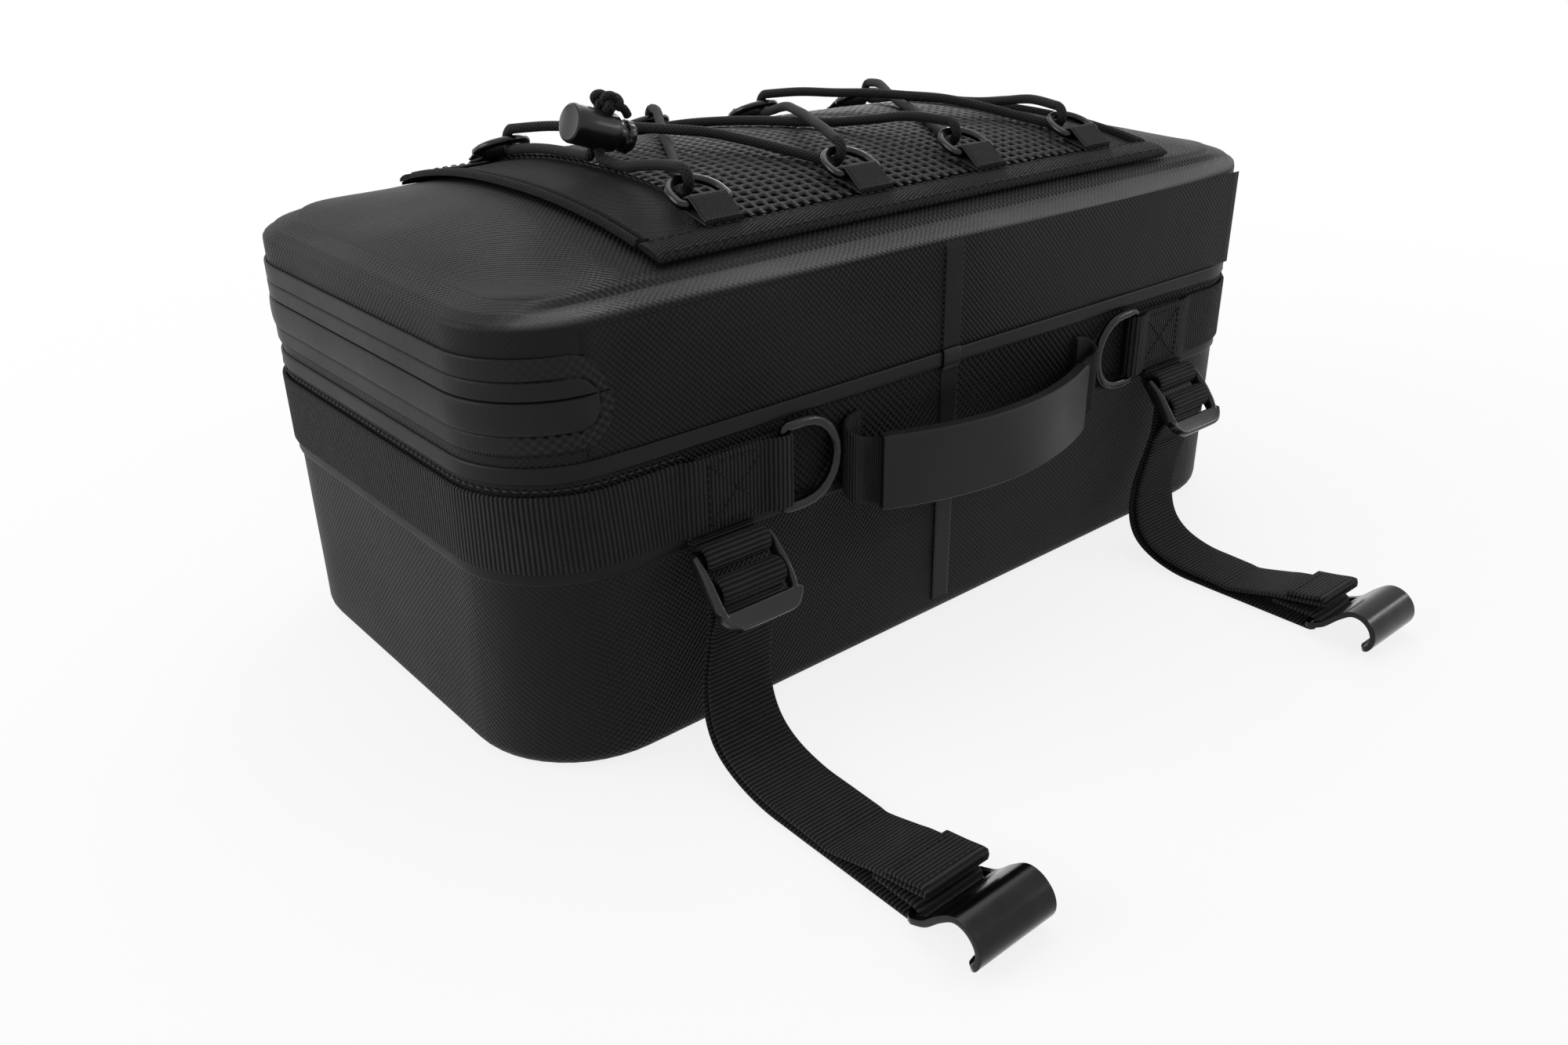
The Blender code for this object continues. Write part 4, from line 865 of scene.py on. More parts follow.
# open weave behind the handle
patch = {"halfX": 0.0885, "low": 0.0730, "high": 0.1004, "out": 0.00025}
xs = [x for x in span(-patch["halfX"], patch["halfX"], 40)
      if not fold["tapeLeft"] - 0.0005 < x < fold["tapeRight"] + 0.0005]
levels = ((patch["low"], 0.0001), (patch["low"] + 0.0002, patch["out"]), (patch["high"], patch["out"]))
patchRows = [[Vector((x, wallY - out, z)) for x in xs] for z, out in levels]
down = [row[0].z for row in patchRows]
piece = netOf("handlePatch", patchRows, down, xs, "openFabric", marks=[[1.0] * len(xs)] * len(down))
place(piece, "bag_body", "shell")
print("zip, fold and seam made")

# webbing bands with their D-rings

band = {"low": 0.0725, "high": 0.0975, "thick": 0.0016, "seat": 0.0003, "barX": 0.0925, "foldBack": 0.033}
dRing = {"wire": 0.0014, "height": 0.0284, "depth": 0.023}
ringOut = band["seat"] * 2 + band["thick"] + dRing["wire"]
ringWrap = dRing["wire"] + band["seat"] + band["thick"] / 2


def loopOut(side, face, z):
    under = band["seat"] + band["thick"] / 2
    over = under + band["thick"] + band["seat"]
    end = band["barX"] + band["foldBack"]
    route = [(end, under), (end - 0.012, under), (band["barX"] + 0.009, under), (band["barX"] + 0.004, under)]
    for k in range(9):
        turn = pi * k / 8
        route.append((band["barX"] - ringWrap * sin(turn), ringOut - ringWrap * cos(turn)))
    route += [(band["barX"] + 0.0045, over + 0.0022), (band["barX"] + 0.009, over + 0.0002),
              (band["barX"] + 0.017, over), (end - 0.006, over), (end, over), (end + 0.004, over - 0.0008),
              (end + 0.0075, under)]
    return [Vector((side * x, face * (bag["halfWidth"] + out), z)) for x, out in route]


def bandEdge(side, z):
    out = band["seat"] + band["thick"] / 2
    half = ring(z, out, arcs=14, ends=10)
    half = [p for p in half if p.x * side > 0.136]
    half.sort(key=lambda p: atan2(p.y, p.x * side))
    return loopOut(side, -1, z) + half + loopOut(side, 1, z)[::-1]


def dRingLine(side, face):
    half = dRing["height"] / 2
    straight = dRing["depth"] - half
    shape = [(0.0, 0.0), (0.0, 0.0012 - half), (-0.0003, 0.0004 - half), (-0.0012, -half),
             (-straight * 0.5, -half)]
    for k in range(0, 13):
        turn = pi * k / 12
        shape.append((-straight - half * sin(turn), -half * cos(turn)))
    shape += [(-straight * 0.5, half), (-0.0012, half), (-0.0003, half - 0.0004), (0.0, half - 0.0012)]
    y = face * (bag["halfWidth"] + ringOut)
    middle = (band["low"] + band["high"]) / 2
    return [Vector((side * (band["barX"] + a), y, middle + b)) for a, b in shape]


for side, hand in hands:
    piece = ribbonPiece(f"bandWebbing.{hand}", bandEdge(side, band["low"]), bandEdge(side, band["high"]),
                        band["thick"], "bandWebbing", 0.0016, facing=side * -1)
    place(piece, "bag_body", "webbing", f"band_{hand}")
    for face, wall in walls:
        line = dRingLine(side, face)
        bold = [1.0 + 0.25 * within(abs(p.x - side * band["barX"]), 0.0005, 0.004) for p in line]
        piece = tubePiece(f"dRing.{wall}.{hand}", line, 0.00150, "ringSteel", sides=14, closed=True,
                          swell=bold, flat=0.85, start=(0, 0, 1))
        place(piece, f"d_ring_{wall}_{hand}", "metal", f"d_ring_{wall}_{hand}")
    # stitching: a row over the band, a crossed box and closing rows where it doubles back
    row = [p for p in ring(0.0991, 0.00035, arcs=14, ends=10) if p.x * side > 0.126]
    row.sort(key=lambda p: atan2(p.y, p.x * side))
    bends = [(side * min(abs(p.x), 0.1465), max(min(p.y, 0.055), -0.055)) for p in row]
    normals = [Vector((p.x - x, p.y - y, 0)).normalized() for p, (x, y) in zip(row, bends)]
    stitches(f"bandStitch.{hand}", "bag_body", list(zip(row, normals)), 0.0019, 0.0010, 0.0003, "paleThread")
    for face, wall in walls:
        out = face * (bag["halfWidth"] + 2 * (band["seat"] + band["thick"]) + 0.00008)
        near, far, low, high = 0.0998, 0.1222, 0.0748, 0.0952
        corners = [(near, low), (far, low), (far, high), (near, high), (near, low), (far, high)]
        legs = [corners, [(near, high), (far, low)]]
        legs += [[(at, 0.0735), (at, 0.0965)] for at in (0.0965, 0.0975)]
        for number, leg in enumerate(legs):
            spots = [(Vector((side * x, out, z)), Vector((0, face, 0))) for x, z in leg]
            stitches(f"boxStitch.{wall}.{hand}.{number}", "bag_body", spots, 0.0016, 0.0008, 0.00026)
print("bands made")

# ladder locks, tabs, straps and hooks

lockSet = {"x": 0.117, "tilt": 42, "out": 0.00725, "height": 0.0665, "bar": 0.0024, "slot": 0.0084,
           "middle": 0.0028, "strapSlot": 0.0058, "thumb": 0.0070, "wrap": 0.0039}
strapSet = {"width": 0.025, "thick": 0.0016, "ply": 0.0019, "bed": 0.0012, "hem": 0.0145, "hemOut": 0.0035,
            "hemLift": 0.0030, "back": 0.0155, "eye": 0.0027, "slack": 0.0014}
hookRuns = {"front": {"left": 0.11025, "right": 0.1010}, "back": {"left": 0.11025, "right": 0.11025}}
leans = {"front": {"left": -0.0105, "right": -0.0245}, "back": {"left": 0.009, "right": -0.009}}
middleBar = lockSet["bar"] / 2 + lockSet["slot"] + lockSet["middle"] / 2
thumbStart = middleBar + lockSet["middle"] / 2 + lockSet["strapSlot"]
thumbEnd = thumbStart + lockSet["thumb"]


def lockPoint(along, proud):
    tilt = radians(lockSet["tilt"])
    return (bag["halfWidth"] + lockSet["out"] + along * sin(tilt) + proud * cos(tilt),
            lockSet["height"] - along * cos(tilt) + proud * sin(tilt))


def strapEdges(route, face, width, x, lean=0.0, leanFrom=0.0485, leanTo=0.0064):
    low, high = [], []
    for out, z in route:
        share = within(leanFrom - z, 0.0, leanFrom - leanTo)
        for row, edge in ((low, -width / 2), (high, width / 2)):
            row.append(Vector((x + lean * share + edge, face * out, z)))
    return low, high


def strapRoute(run):
    bed, ply, reach = strapSet["bed"], strapSet["ply"], bag["halfWidth"] + run
    start = lockPoint(middleBar - lockSet["wrap"], -0.0030)
    load = [start] + [(bag["halfWidth"] + run * out, lockSet["height"] * up) for out, up in
                      ((0.09478, 0.7218), (0.0966, 0.57143), (0.11565, 0.41353), (0.161, 0.27068),
                       (0.22902, 0.15038), (0.31973, 0.06767))]
    load += [(bag["halfWidth"] + run * 0.42857, bed + 0.0004)]
    load += [(bag["halfWidth"] + run * out, bed) for out in (0.54195, 0.75964)] + [(reach - 0.002, bed)]
    load = [Vector((out, z)) for out, z, _ in eased([(a, b, 0) for a, b in load], 0.004)]
    tail = []
    for i, spot in enumerate(load):
        ahead = (load[min(i + 1, len(load) - 1)] - load[max(i - 1, 0)]).normalized()
        loose = strapSet["slack"] * sin(pi * i / (len(load) - 1)) ** 2
        tail.append(spot + (ply + loose) * Vector((-ahead.y, ahead.x)))
    tail = [p for p in tail if p.y < lockSet["height"] - 0.021 and p.x < reach - 0.032]
    hookZ = bed + strapSet["eye"]
    backZ = hookZ + strapSet["eye"]
    hemZ = backZ + ply
    hemOut = reach + strapSet["hemOut"]
    hemTop = hemZ + strapSet["hemLift"]
    hemStart = hemZ + strapSet["hemLift"] * (1 - strapSet["hem"] / (strapSet["back"] + strapSet["hemOut"]))
    route = [(hemOut - strapSet["hem"], hemStart + ply),
             (hemOut - strapSet["hem"] / 2, (hemStart + hemTop) / 2 + ply), (hemOut - ply / 2, hemTop + ply),
             (hemOut, hemTop + ply / 2), (hemOut - ply / 2, hemTop),
             (reach - strapSet["back"], hemZ), (reach - strapSet["back"] - 0.006, hemZ - 0.0016)]
    route += [tuple(p) for p in reversed(tail)]
    route += [lockPoint(thumbStart - 0.0020, -0.0034)]
    for k in range(11):
        turn = radians(-25 + 225 * k / 10)
        route.append(lockPoint(middleBar + lockSet["wrap"] * cos(turn), lockSet["wrap"] * sin(turn)))
    route += [tuple(p) for p in load]
    turns = [pi * k / 8 for k in range(9)]
    route += [(reach + strapSet["eye"] * sin(t), hookZ - strapSet["eye"] * cos(t)) for t in turns]
    return route + [(reach - strapSet["back"] * 0.5, backZ), (reach - strapSet["back"], backZ)]


def tabRoute():
    centre = lockPoint(0, 0)
    top = band["low"] - 0.0003
    inner = bag["halfWidth"] + 0.0003 + 0.0008
    ply = strapSet["ply"]
    route = [(inner, top), (inner + 0.0003, top - 0.0035), (inner + 0.0014, top - 0.0060)]
    for k in range(10):
        turn = radians(220 + 235 * k / 9)
        route.append((centre[0] + lockSet["wrap"] * cos(turn), centre[1] + lockSet["wrap"] * sin(turn)))
    return route + [(inner + ply + 0.0003, top - 0.0034), (inner + ply, top - 0.0006)]


def lockBlank():
    # one moulded lock in its own frame: x across, y down its length, z off its face
    shells = bmesh.new()

    def join(rings):
        size = len(rings[0])
        for one, two in zip(rings, rings[1:]):
            for s in range(size):
                t = (s + 1) % size
                shells.faces.new((one[s], one[t], two[t], two[s]))
        shells.faces.new(list(reversed(rings[0])))
        shells.faces.new(rings[-1])

    def barAcross(y, half, thick):
        rings = []
        for k in range(15):
            x = -0.0152 + 0.0304 * k / 14
            loop = []
            for s in range(12):
                a, b = cos(2 * pi * s / 12), sin(2 * pi * s / 12)
                a = abs(a) ** 0.6 * (1 if a > 0 else -1)
                b = abs(b) ** 0.6 * (1 if b > 0 else -1)
                loop.append(shells.verts.new((x, y + half * a, thick * b)))
            rings.append(loop)
        join(rings)

    def rail(side):
        rings = []
        for k in range(23):
            share = k / 22
            y = -0.0018 + (thumbEnd - 0.0016) * share
            belly = sin(pi * (0.10 + 0.82 * share ** 0.85)) ** 0.8
            thick = 0.0012 + 0.0020 * belly
            width = 0.0017 - 0.0004 * abs(2 * share - 1)
            x = side * (0.0146 - 0.0010 * within(share, 0.72, 1.0))
            turns = [2 * pi * s / 12 for s in range(12)]
            rings.append([shells.verts.new((x + width * cos(t), y, 0.0004 * belly + thick * sin(t)))
                          for t in turns])
        join(rings)

    rail(-1)
    rail(1)
    barAcross(0.0, 0.0012, 0.0013)
    barAcross(middleBar, 0.0014, 0.0015)
    middle = (thumbStart + thumbEnd) / 2
    rings = []
    for k in range(25):
        x = -0.0161 + 0.0322 * k / 24
        curl = 0.0006 * (x / 0.016) ** 2
        short = 0.0052 * max(0.0, (abs(x) - 0.0090) / 0.0071) ** 2.4
        end = max(thumbEnd - short, thumbStart + 0.0018)
        loop = [shells.verts.new((x, y, z + curl)) for y, z in
                ((thumbStart, -0.0010), (thumbStart, 0.0010), (thumbStart + 0.0006, 0.0017),
                 (min(middle, end - 0.0010), 0.0021), (end - 0.0006, 0.0024), (end - 0.0001, 0.0020),
                 (end, 0.0010), (end, -0.0006), (end - 0.0005, -0.0014),
                 (min(middle, end - 0.0010), -0.0016), (thumbStart + 0.0006, -0.0014))]
        rings.append(loop)
    join(rings)
    bmesh.ops.recalc_face_normals(shells, faces=shells.faces)
    mesh = bpy.data.meshes.new("lockBlank")
    shells.to_mesh(mesh)
    shells.free()
    blank = linked("lockBlank", mesh)
    fused = blank.modifiers.new("fused", "REMESH")
    fused.mode = "VOXEL"
    fused.voxel_size = 0.00038
    melted = blank.modifiers.new("melted", "SMOOTH")
    melted.factor = 0.5
    melted.iterations = 5
    thin = blank.modifiers.new("thin", "DECIMATE")
    thin.ratio = 0.35
    made = settled(blank)
    bpy.data.objects.remove(blank, do_unlink=True)
    made.shade_smooth()
    return made


lockMesh = lockBlank()


def hookPiece(name, face, x, reach):
    low = strapSet["bed"] + strapSet["eye"]
    points = [(reach + 0.0013, low), (reach + 0.0062, low + 0.0024), (reach + 0.0112, low + 0.0074),
              (reach + 0.0158, low + 0.0107), (reach + 0.0203, low + 0.0104), (reach + 0.0238, low + 0.0075),
              (reach + 0.0250, low + 0.0035), (reach + 0.0236, low - 0.0002), (reach + 0.0205, low - 0.0018)]
    route = [(reach - 0.0013, low, 0), (reach + 0.0001, low, 0)]
    route += eased([(a, b, 0) for a, b in points], 0.0008)
    lengths = runs(route)
    total = lengths[-1]
    grid = bmesh.new()
    layer = grid.loops.layers.uv.new("cloth")
    half, slotHalf, slotStart, slotEnd = 0.015, 0.0129, 0.0026, 0.0074
    columns = [-1, -0.97, -0.91, -slotHalf / half, -0.7, -0.45, -0.2, 0, 0.2, 0.45, 0.7,
               slotHalf / half, 0.91, 0.97, 1]
    rows = []
    for s, (out, z, _) in zip(lengths, route):
        here = half
        if s < 0.003:
            here = half - 0.0030 * (1 - sqrt(max(0, 1 - (1 - s / 0.003) ** 2)))
        left = total - s
        if left < 0.004:
            here = half - 0.0040 * (1 - sqrt(max(0, 1 - (1 - left / 0.004) ** 2)))
        rows.append([grid.verts.new((x + c * here, face * out, z)) for c in columns])
    for i in range(len(rows) - 1):
        for j in range(len(columns) - 1):
            if slotStart <= lengths[i] and lengths[i + 1] <= slotEnd + 0.0002 and 3 <= j < 11:
                continue
            made = grid.faces.new((rows[i][j], rows[i][j + 1], rows[i + 1][j + 1], rows[i + 1][j]))
            for loop in made.loops:
                loop[layer].uv = (loop.vert.co.y, loop.vert.co.x)
    bmesh.ops.recalc_face_normals(grid, faces=grid.faces)
    mesh = bpy.data.meshes.new(name)
    grid.to_mesh(mesh)
    grid.free()
    hook = linked(name, mesh)
    mesh.materials.append(finishes["satinSteel"])
    thick = hook.modifiers.new("sheet", "SOLIDIFY")
    thick.thickness = 0.002
    thick.offset = 0
    edges = hook.modifiers.new("edges", "BEVEL")
    edges.width = 0.00055
    edges.segments = 3
    edges.limit_method = "ANGLE"
    edges.angle_limit = radians(50)
    made = settled(hook)
    hook.modifiers.clear()
    hook.data = made
    made.shade_smooth()
    made.set_sharp_from_angle(angle=radians(50))
    return hook


for side, hand in hands:
    for face, wall in walls:
        spot = f"{wall}_{hand}"
        x, lean, run = side * lockSet["x"], leans[wall][hand], hookRuns[wall][hand]
        low, high = strapEdges(tabRoute(), face, strapSet["width"], x)
        piece = ribbonPiece(f"lockTab.{wall}.{hand}", low, high, strapSet["thick"], "tabWebbing", 0.0009,
                            facing=face)
        place(piece, "bag_body", "webbing", f"tab_{spot}")
        low, high = strapEdges(strapRoute(run), face, strapSet["width"], x, lean)
        piece = ribbonPiece(f"strapWebbing.{wall}.{hand}", low, high, strapSet["thick"], "strapWebbing",
                            0.0013, facing=face)
        place(piece, f"strap_{spot}", "webbing", f"strap_{spot}")
        hemEnd = bag["halfWidth"] + run + strapSet["hemOut"]
        for number, back in enumerate((0.0028, 0.0125)):
            rise = strapSet["bed"] + 2 * strapSet["eye"] + 2 * strapSet["ply"] + 0.00085
            rise += strapSet["hemLift"] * (1 - back / (strapSet["back"] + strapSet["hemOut"]))
            ends = [Vector((x + lean + a, face * (hemEnd - back), rise)) for a in (-0.011, 0.011)]
            spots = [(end, Vector((0, 0, 1))) for end in ends]
            stitches(f"hemStitch.{wall}.{hand}.{number}", f"strap_{spot}", spots, 0.0016, 0.0008)
        out, z = lockPoint(0, 0)
        tilt = radians(lockSet["tilt"])
        down = Vector((0, face * sin(tilt), -cos(tilt)))
        proud = Vector((0, face * cos(tilt), sin(tilt)))
        turn = Matrix((Vector((1, 0, 0)), down, proud)).transposed()
        mesh = lockMesh.copy()
        mesh.transform(Matrix.Translation((x, face * out, z)) @ turn.to_4x4())
        if turn.determinant() < 0:
            mesh.flip_normals()
        mesh.materials.append(finishes["mouldedPlastic"])
        lock = linked(f"ladderLock.{wall}.{hand}", mesh)
        place(lock, f"strap_{spot}", "plastic", f"ladder_lock_{spot}")
        hook = hookPiece(f"strapHook.{wall}.{hand}", face, x + lean, bag["halfWidth"] + run)
        place(hook, f"hook_{spot}", "metal", f"hook_{spot}")
print("straps, locks and hooks made")

# carrying handle

handle = {"grip": 0.107, "height": 0.0272, "end": 0.0665, "bow": 0.0205, "middle": 0.0745,
          "rise": 0.009, "core": 0.0024}
endOut = 0.0003 + handle["core"] / 2


def handleLine(x):
    share = min(abs(x) / handle["end"], 1.0)
    out = handle["bow"] + (endOut - handle["bow"]) * share ** 2
    start = handle["grip"] / 2 + 0.0003
    up = max(0.0, (abs(x) - start) / (handle["end"] - start))
    return out, handle["middle"] + handle["rise"] * within(up, 0, 1)


def gripSection():
    tall, deep, slope, rise = handle["height"] / 2, 0.0031, 0.0022, 0.0015
    return [(-tall, -deep + 0.0006), (-tall, deep - rise - 0.0004), (-tall + 0.0003, deep - rise),
            (-tall + slope - 0.0002, deep - 0.0001), (-tall + slope + 0.0003, deep),
            (-tall * 0.5, deep - 0.0001),
            (0, deep - 0.00015), (tall * 0.5, deep - 0.0001), (tall - slope - 0.0003, deep),
            (tall - slope + 0.0002, deep - 0.0001), (tall - 0.0003, deep - rise),
            (tall, deep - rise - 0.0004),
            (tall, -deep + 0.0006), (tall - 0.0006, -deep), (-tall + 0.0006, -deep)]


def gripEnds(share, section):  # the grip is a little lower at its two ends
    low = 0.03 * max(0, 1 - min(share, 1 - share) * 60)
    return [(a * (1 - low), b) for a, b in section]


xs = span(-handle["grip"] / 2, handle["grip"] / 2, 60)
line = [(x, -bag["halfWidth"] - handleLine(x)[0], handle["middle"]) for x in xs]
grip = swept("gripRubber", line, [(0, 0, 1)] * len(line), gripSection(), "gripRubber", facing=-1, sharp=30,
             shape=gripEnds)
place(grip, "handle", "grip", "handle_grip")

# beyond the grip the webbing rolls back under itself
rolled = [(0.0565, 0.0064), (0.0600, 0.0059), (0.0630, 0.0066), (0.0651, 0.0056), (0.0654, 0.0038),
          (0.0640, 0.0023), (0.0610, 0.0015), (0.0575, 0.0014)]
half = [(x, handleLine(x)[0]) for x in (0.008, 0.016, 0.024, 0.032, 0.040, 0.047, 0.0535)] + rolled
path = [(-x, out) for x, out in reversed(half)] + [(0, handleLine(0)[0])] + half
low, high = [], []
for k, (x, out) in enumerate(path):
    up = handle["rise"] * (1 - within(min(k, len(path) - 1 - k), 0, 8))
    y = -bag["halfWidth"] - out
    low.append((x, y, handle["middle"] + up - 0.0122))
    high.append((x, y, handle["middle"] + up + 0.0122))
piece = ribbonPiece("handleWebbing", low, high, 0.0022, "handleWebbing", 0.0012, facing=-1)
place(piece, "handle", "webbing", "handle_webbing")
print("handle made")

# top panel, net and edgings

panel = {"halfX": 0.125, "halfY": 0.083, "gap": 0.0005, "thick": 0.0012, "netX": 0.094, "netY": 0.073,
         "cell": 0.0047, "cellAcross": 0.0041, "binding": 0.011, "over": 0.0015, "piping": 0.006}
panelTop = panel["gap"] + panel["thick"]
edgeY = panel["halfY"] + panel["over"]


def onDome(x, y, up):
    return Vector((x, y, dome(x, y) + up))


xs, ys = span(-panel["halfX"], panel["halfX"], 80), span(-panel["halfY"], panel["halfY"], 56)
topRows = [[onDome(x, y, panelTop + 0.00012 * noise.noise(Vector((x * 70, y * 70, 1)))) for x in xs]
           for y in ys]
lowRows = [[onDome(x, y, panel["gap"]) for x in xs] for y in (ys[0], ys[-1])]
down = [ys[0] - panel["thick"]] + ys + [ys[-1] + panel["thick"]]
piece = netOf("panelTwill", [lowRows[0]] + topRows + [lowRows[1]], down, xs, "panelTwill")
place(piece, "lid", "panel", "top_panel")

# the net: a rounded hole in every cell, its threads crowned
columns = round(2 * panel["netX"] / panel["cell"])
lines = round(2 * panel["netY"] / panel["cellAcross"])
netLow, netCrown = panelTop + 0.0003, 0.0012
points, faces, uvs, shared = [], [], [], {}


def netPoint(key, x, y, up):
    if key not in shared:
        shared[key] = len(points)
        points.append(onDome(x, y, netLow + up))
    return shared[key]


def knotAt(i, j):
    wave = noise.noise_vector(Vector((i * 0.9, j * 0.9, 5))) * 0.00035
    return (-panel["netX"] + 2 * panel["netX"] * i / columns + wave.x,
            -panel["netY"] + 2 * panel["netY"] * j / lines + wave.y)


for i in range(columns):
    for j in range(lines):
        corners = [knotAt(i, j), knotAt(i + 1, j), knotAt(i + 1, j + 1), knotAt(i, j + 1)]
        names = [(i, j), (i + 1, j), (i + 1, j + 1), (i, j + 1)]
        cx, cy = sum(c[0] for c in corners) / 4, sum(c[1] for c in corners) / 4
        outer, hole, deep = [], [], []
        for k in range(4):
            (ax, ay), (bx, by) = corners[k], corners[(k + 1) % 4]
            mx, my = (ax + bx) / 2, (ay + by) / 2
            side = tuple(sorted((names[k], names[(k + 1) % 4])))
            outer += [netPoint(names[k], ax, ay, netCrown + 0.00018), netPoint(side, mx, my, netCrown)]
            for (px, py), far in (((ax, ay), 0.60), ((mx, my), 0.64)):
                hx, hy = cx + (px - cx) * far, cy + (py - cy) * far
                hole.append(netPoint(("h", i, j, k, far), hx, hy, netCrown - 0.00045))
                dx, dy = hx + (px - cx) * 0.06, hy + (py - cy) * 0.06
                deep.append(netPoint(("d", i, j, k, far), dx, dy, 0.0))
        for k in range(8):
            m = (k + 1) % 8
            faces.append((outer[k], outer[m], hole[m], hole[k]))
            faces.append((hole[k], hole[m], deep[m], deep[k]))
for face in faces:
    uvs += [(points[p].x, points[p].y) for p in face]
netPiece = newPiece("pocketNet", points, faces, uvs, "netStrand", sharp=180)
place(netPiece, "lid", "mesh", "mesh_pocket")


def edging(name, ends, y, width, finish, nodes, alongX=True, ridges=1, tall=0.002):
    # a rolled strip over the dome, with one crown or two
    cuts = 18
    steps = span(ends[0], ends[1], 90)
    rows, section = [], []
    for k in range(cuts + 1):
        share = k / cuts
        across = (share - 0.5) * width
        crown = sin(pi * min(max(share, 0.02), 0.98)) ** 0.35
        if ridges == 2:
            one, two = (sin(pi * min(max(at / 0.44, 0), 1)) ** 0.6 for at in (share, share - 0.56))
            crown = max(one, 0.8 * two)
        section.append((across, 0.0003 + (tall - 0.0003) * crown))
    section += [(width / 2, 0.0001), (-width / 2, 0.0001)]
    for at in steps:
        wobble = 0.00018 * noise.noise(Vector((at * 60, y * 50, 7)))
        row = []
        for a, up in section:
            spot = (at, y + a + wobble) if alongX else (y + a + wobble, at)
            row.append(onDome(spot[0], spot[1], panelTop + 0.0003 + up - 0.0001))
        rows.append(row)
    if not alongX:
        rows.reverse()
    edge = [a for a, b in section] + [section[0][0]]
    down = [abs(s - steps[0]) for s in steps]
    piece = netOf(name, rows, down, edge, finish, closed=True, caps=True, sharp=60)
    return place(piece, "lid", "webbing", *nodes)


middleY = edgeY - panel["binding"] / 2
for face, wall in walls:
    edging(f"panelBinding.{wall}", (-panel["halfX"], panel["halfX"]), face * middleY, panel["binding"],
           "bindingWebbing", [f"binding_{wall}"])
for face, wall in walls:
    for number, y in enumerate((edgeY - 0.0017, edgeY - panel["binding"] + 0.0017)):
        out = Vector((0, face * 0.3, 1)).normalized()
        spots = [(onDome(x, face * y, panelTop + 0.0021), out) for x in span(-0.123, 0.123, 60)]
        stitches(f"bindingStitch.{wall}.{number}", "lid", spots, 0.0024, 0.0012)
pipeX = panel["halfX"] + 0.001 - panel["piping"] / 2
for sign, hand in hands:
    edging(f"panelPiping.{hand}", (-0.0732, 0.0732), sign * pipeX, panel["piping"], "panelTwill",
           [f"piping_{hand}"], alongX=False, ridges=2, tall=0.0022)
print("panel and net made")

# lacing rings, their tabs and the cord

lace = {"x": (-0.0930, -0.0280, 0.0300, 0.0925), "barY": 0.0655, "wire": 0.0015, "tab": 0.015,
        "tabThick": 0.001, "depth": 0.0125, "gap": 0.0002, "cord": 0.0018}
netTop = panelTop + 0.0015
barUp = netTop + 0.0003 + lace["tabThick"] + lace["gap"] + lace["wire"]
crownUp = netTop + 0.0006 + 2 * lace["cord"] + lace["wire"] + 0.0001
crownY = lace["barY"] - lace["depth"]
cordLow = netTop + 0.0003 + lace["cord"]
cordTurn = lace["cord"] + 0.0003 + lace["wire"] + 0.0001


def crownOf(number, face):
    x = lace["x"][number]
    return onDome(x, face * crownY, crownUp)


for face, wall in walls:
    for number, x in enumerate(lace["x"]):
        slope = atan2(dome(x, lace["barY"] - 0.004) - dome(x, lace["barY"] + 0.004), 0.008)
        barZ = dome(x, lace["barY"]) + barUp / cos(slope)
        crownZ = crownOf(number, face).z
        half = lace["tab"] / 2 + 0.0006 + lace["wire"]
        corner = [(half * 0.5, 0), (half - 0.0014, 0), (half - 0.0004, 0.0004), (half, 0.0014), (half, 0.004)]
        turns = [pi * k / 14 for k in range(1, 14)]
        shape = [(0, 0)] + [(-a, b) for a, b in corner]
        shape += [(-half * cos(t), 0.004 + (lace["depth"] - 0.004) * sin(t)) for t in turns] + corner[::-1]
        rise = (crownZ - barZ) / lace["depth"]
        line = [Vector((x + a, face * (lace["barY"] - b), barZ + rise * b)) for a, b in shape]
        piece = tubePiece(f"laceRing.{wall}.{number + 1}", line, lace["wire"], "ringSteel", closed=True)
        place(piece, "lid", "metal", f"lace_ring_{wall}_{number + 1}")
        wrap = lace["wire"] + lace["gap"] + lace["tabThick"] / 2
        rootY = edgeY - panel["binding"] - 0.0003
        base = dome(x, rootY) + netTop + 0.0003 + lace["tabThick"] / 2 / cos(slope)
        route = [(rootY + 0.0012, base - 0.0004), (rootY, base)]
        for k in range(10):
            turn = -pi / 2 - slope - radians(200) * k / 9
            route.append((lace["barY"] + wrap * cos(turn), barZ + wrap * sin(turn)))
        ply = (lace["tabThick"] + lace["gap"]) / cos(slope)
        route += [(rootY, base + ply), (rootY + 0.0014, base + 0.0007)]
        low, high = ([Vector((x + edge, face * out, z)) for out, z in route]
                     for edge in (-lace["tab"] / 2, lace["tab"] / 2))
        piece = ribbonPiece(f"laceTab.{wall}.{number + 1}", low, high, lace["tabThick"], "laceTabWebbing",
                            0.0007, facing=face)
        place(piece, "lid", "webbing", f"lace_tab_{wall}_{number + 1}")

stop = {"centre": Vector((-0.0920, -0.006, 0.1794)), "tilt": 18, "radius": 0.0066, "bore": 0.0050,
        "left": 0.0125, "right": 0.0055, "travel": 0.003, "plunger": 0.0047, "head": 0.0056,
        "headLong": 0.0034}
stopAxis = Vector((cos(radians(stop["tilt"])), 0, -sin(radians(stop["tilt"]))))
stopRise = Vector((sin(radians(stop["tilt"])), 0, cos(radians(stop["tilt"]))))


def stopPoint(along, side, up):
    return stop["centre"] + along * stopAxis + side * Vector((0, 1, 0)) + up * stopRise


def strandBetween(start, end, heights):
    found = []
    for k, up in enumerate(heights, 1):
        spot = Vector(start).lerp(Vector(end), k / (len(heights) + 1))
        found.append(onDome(spot.x, spot.y, up))
    return found


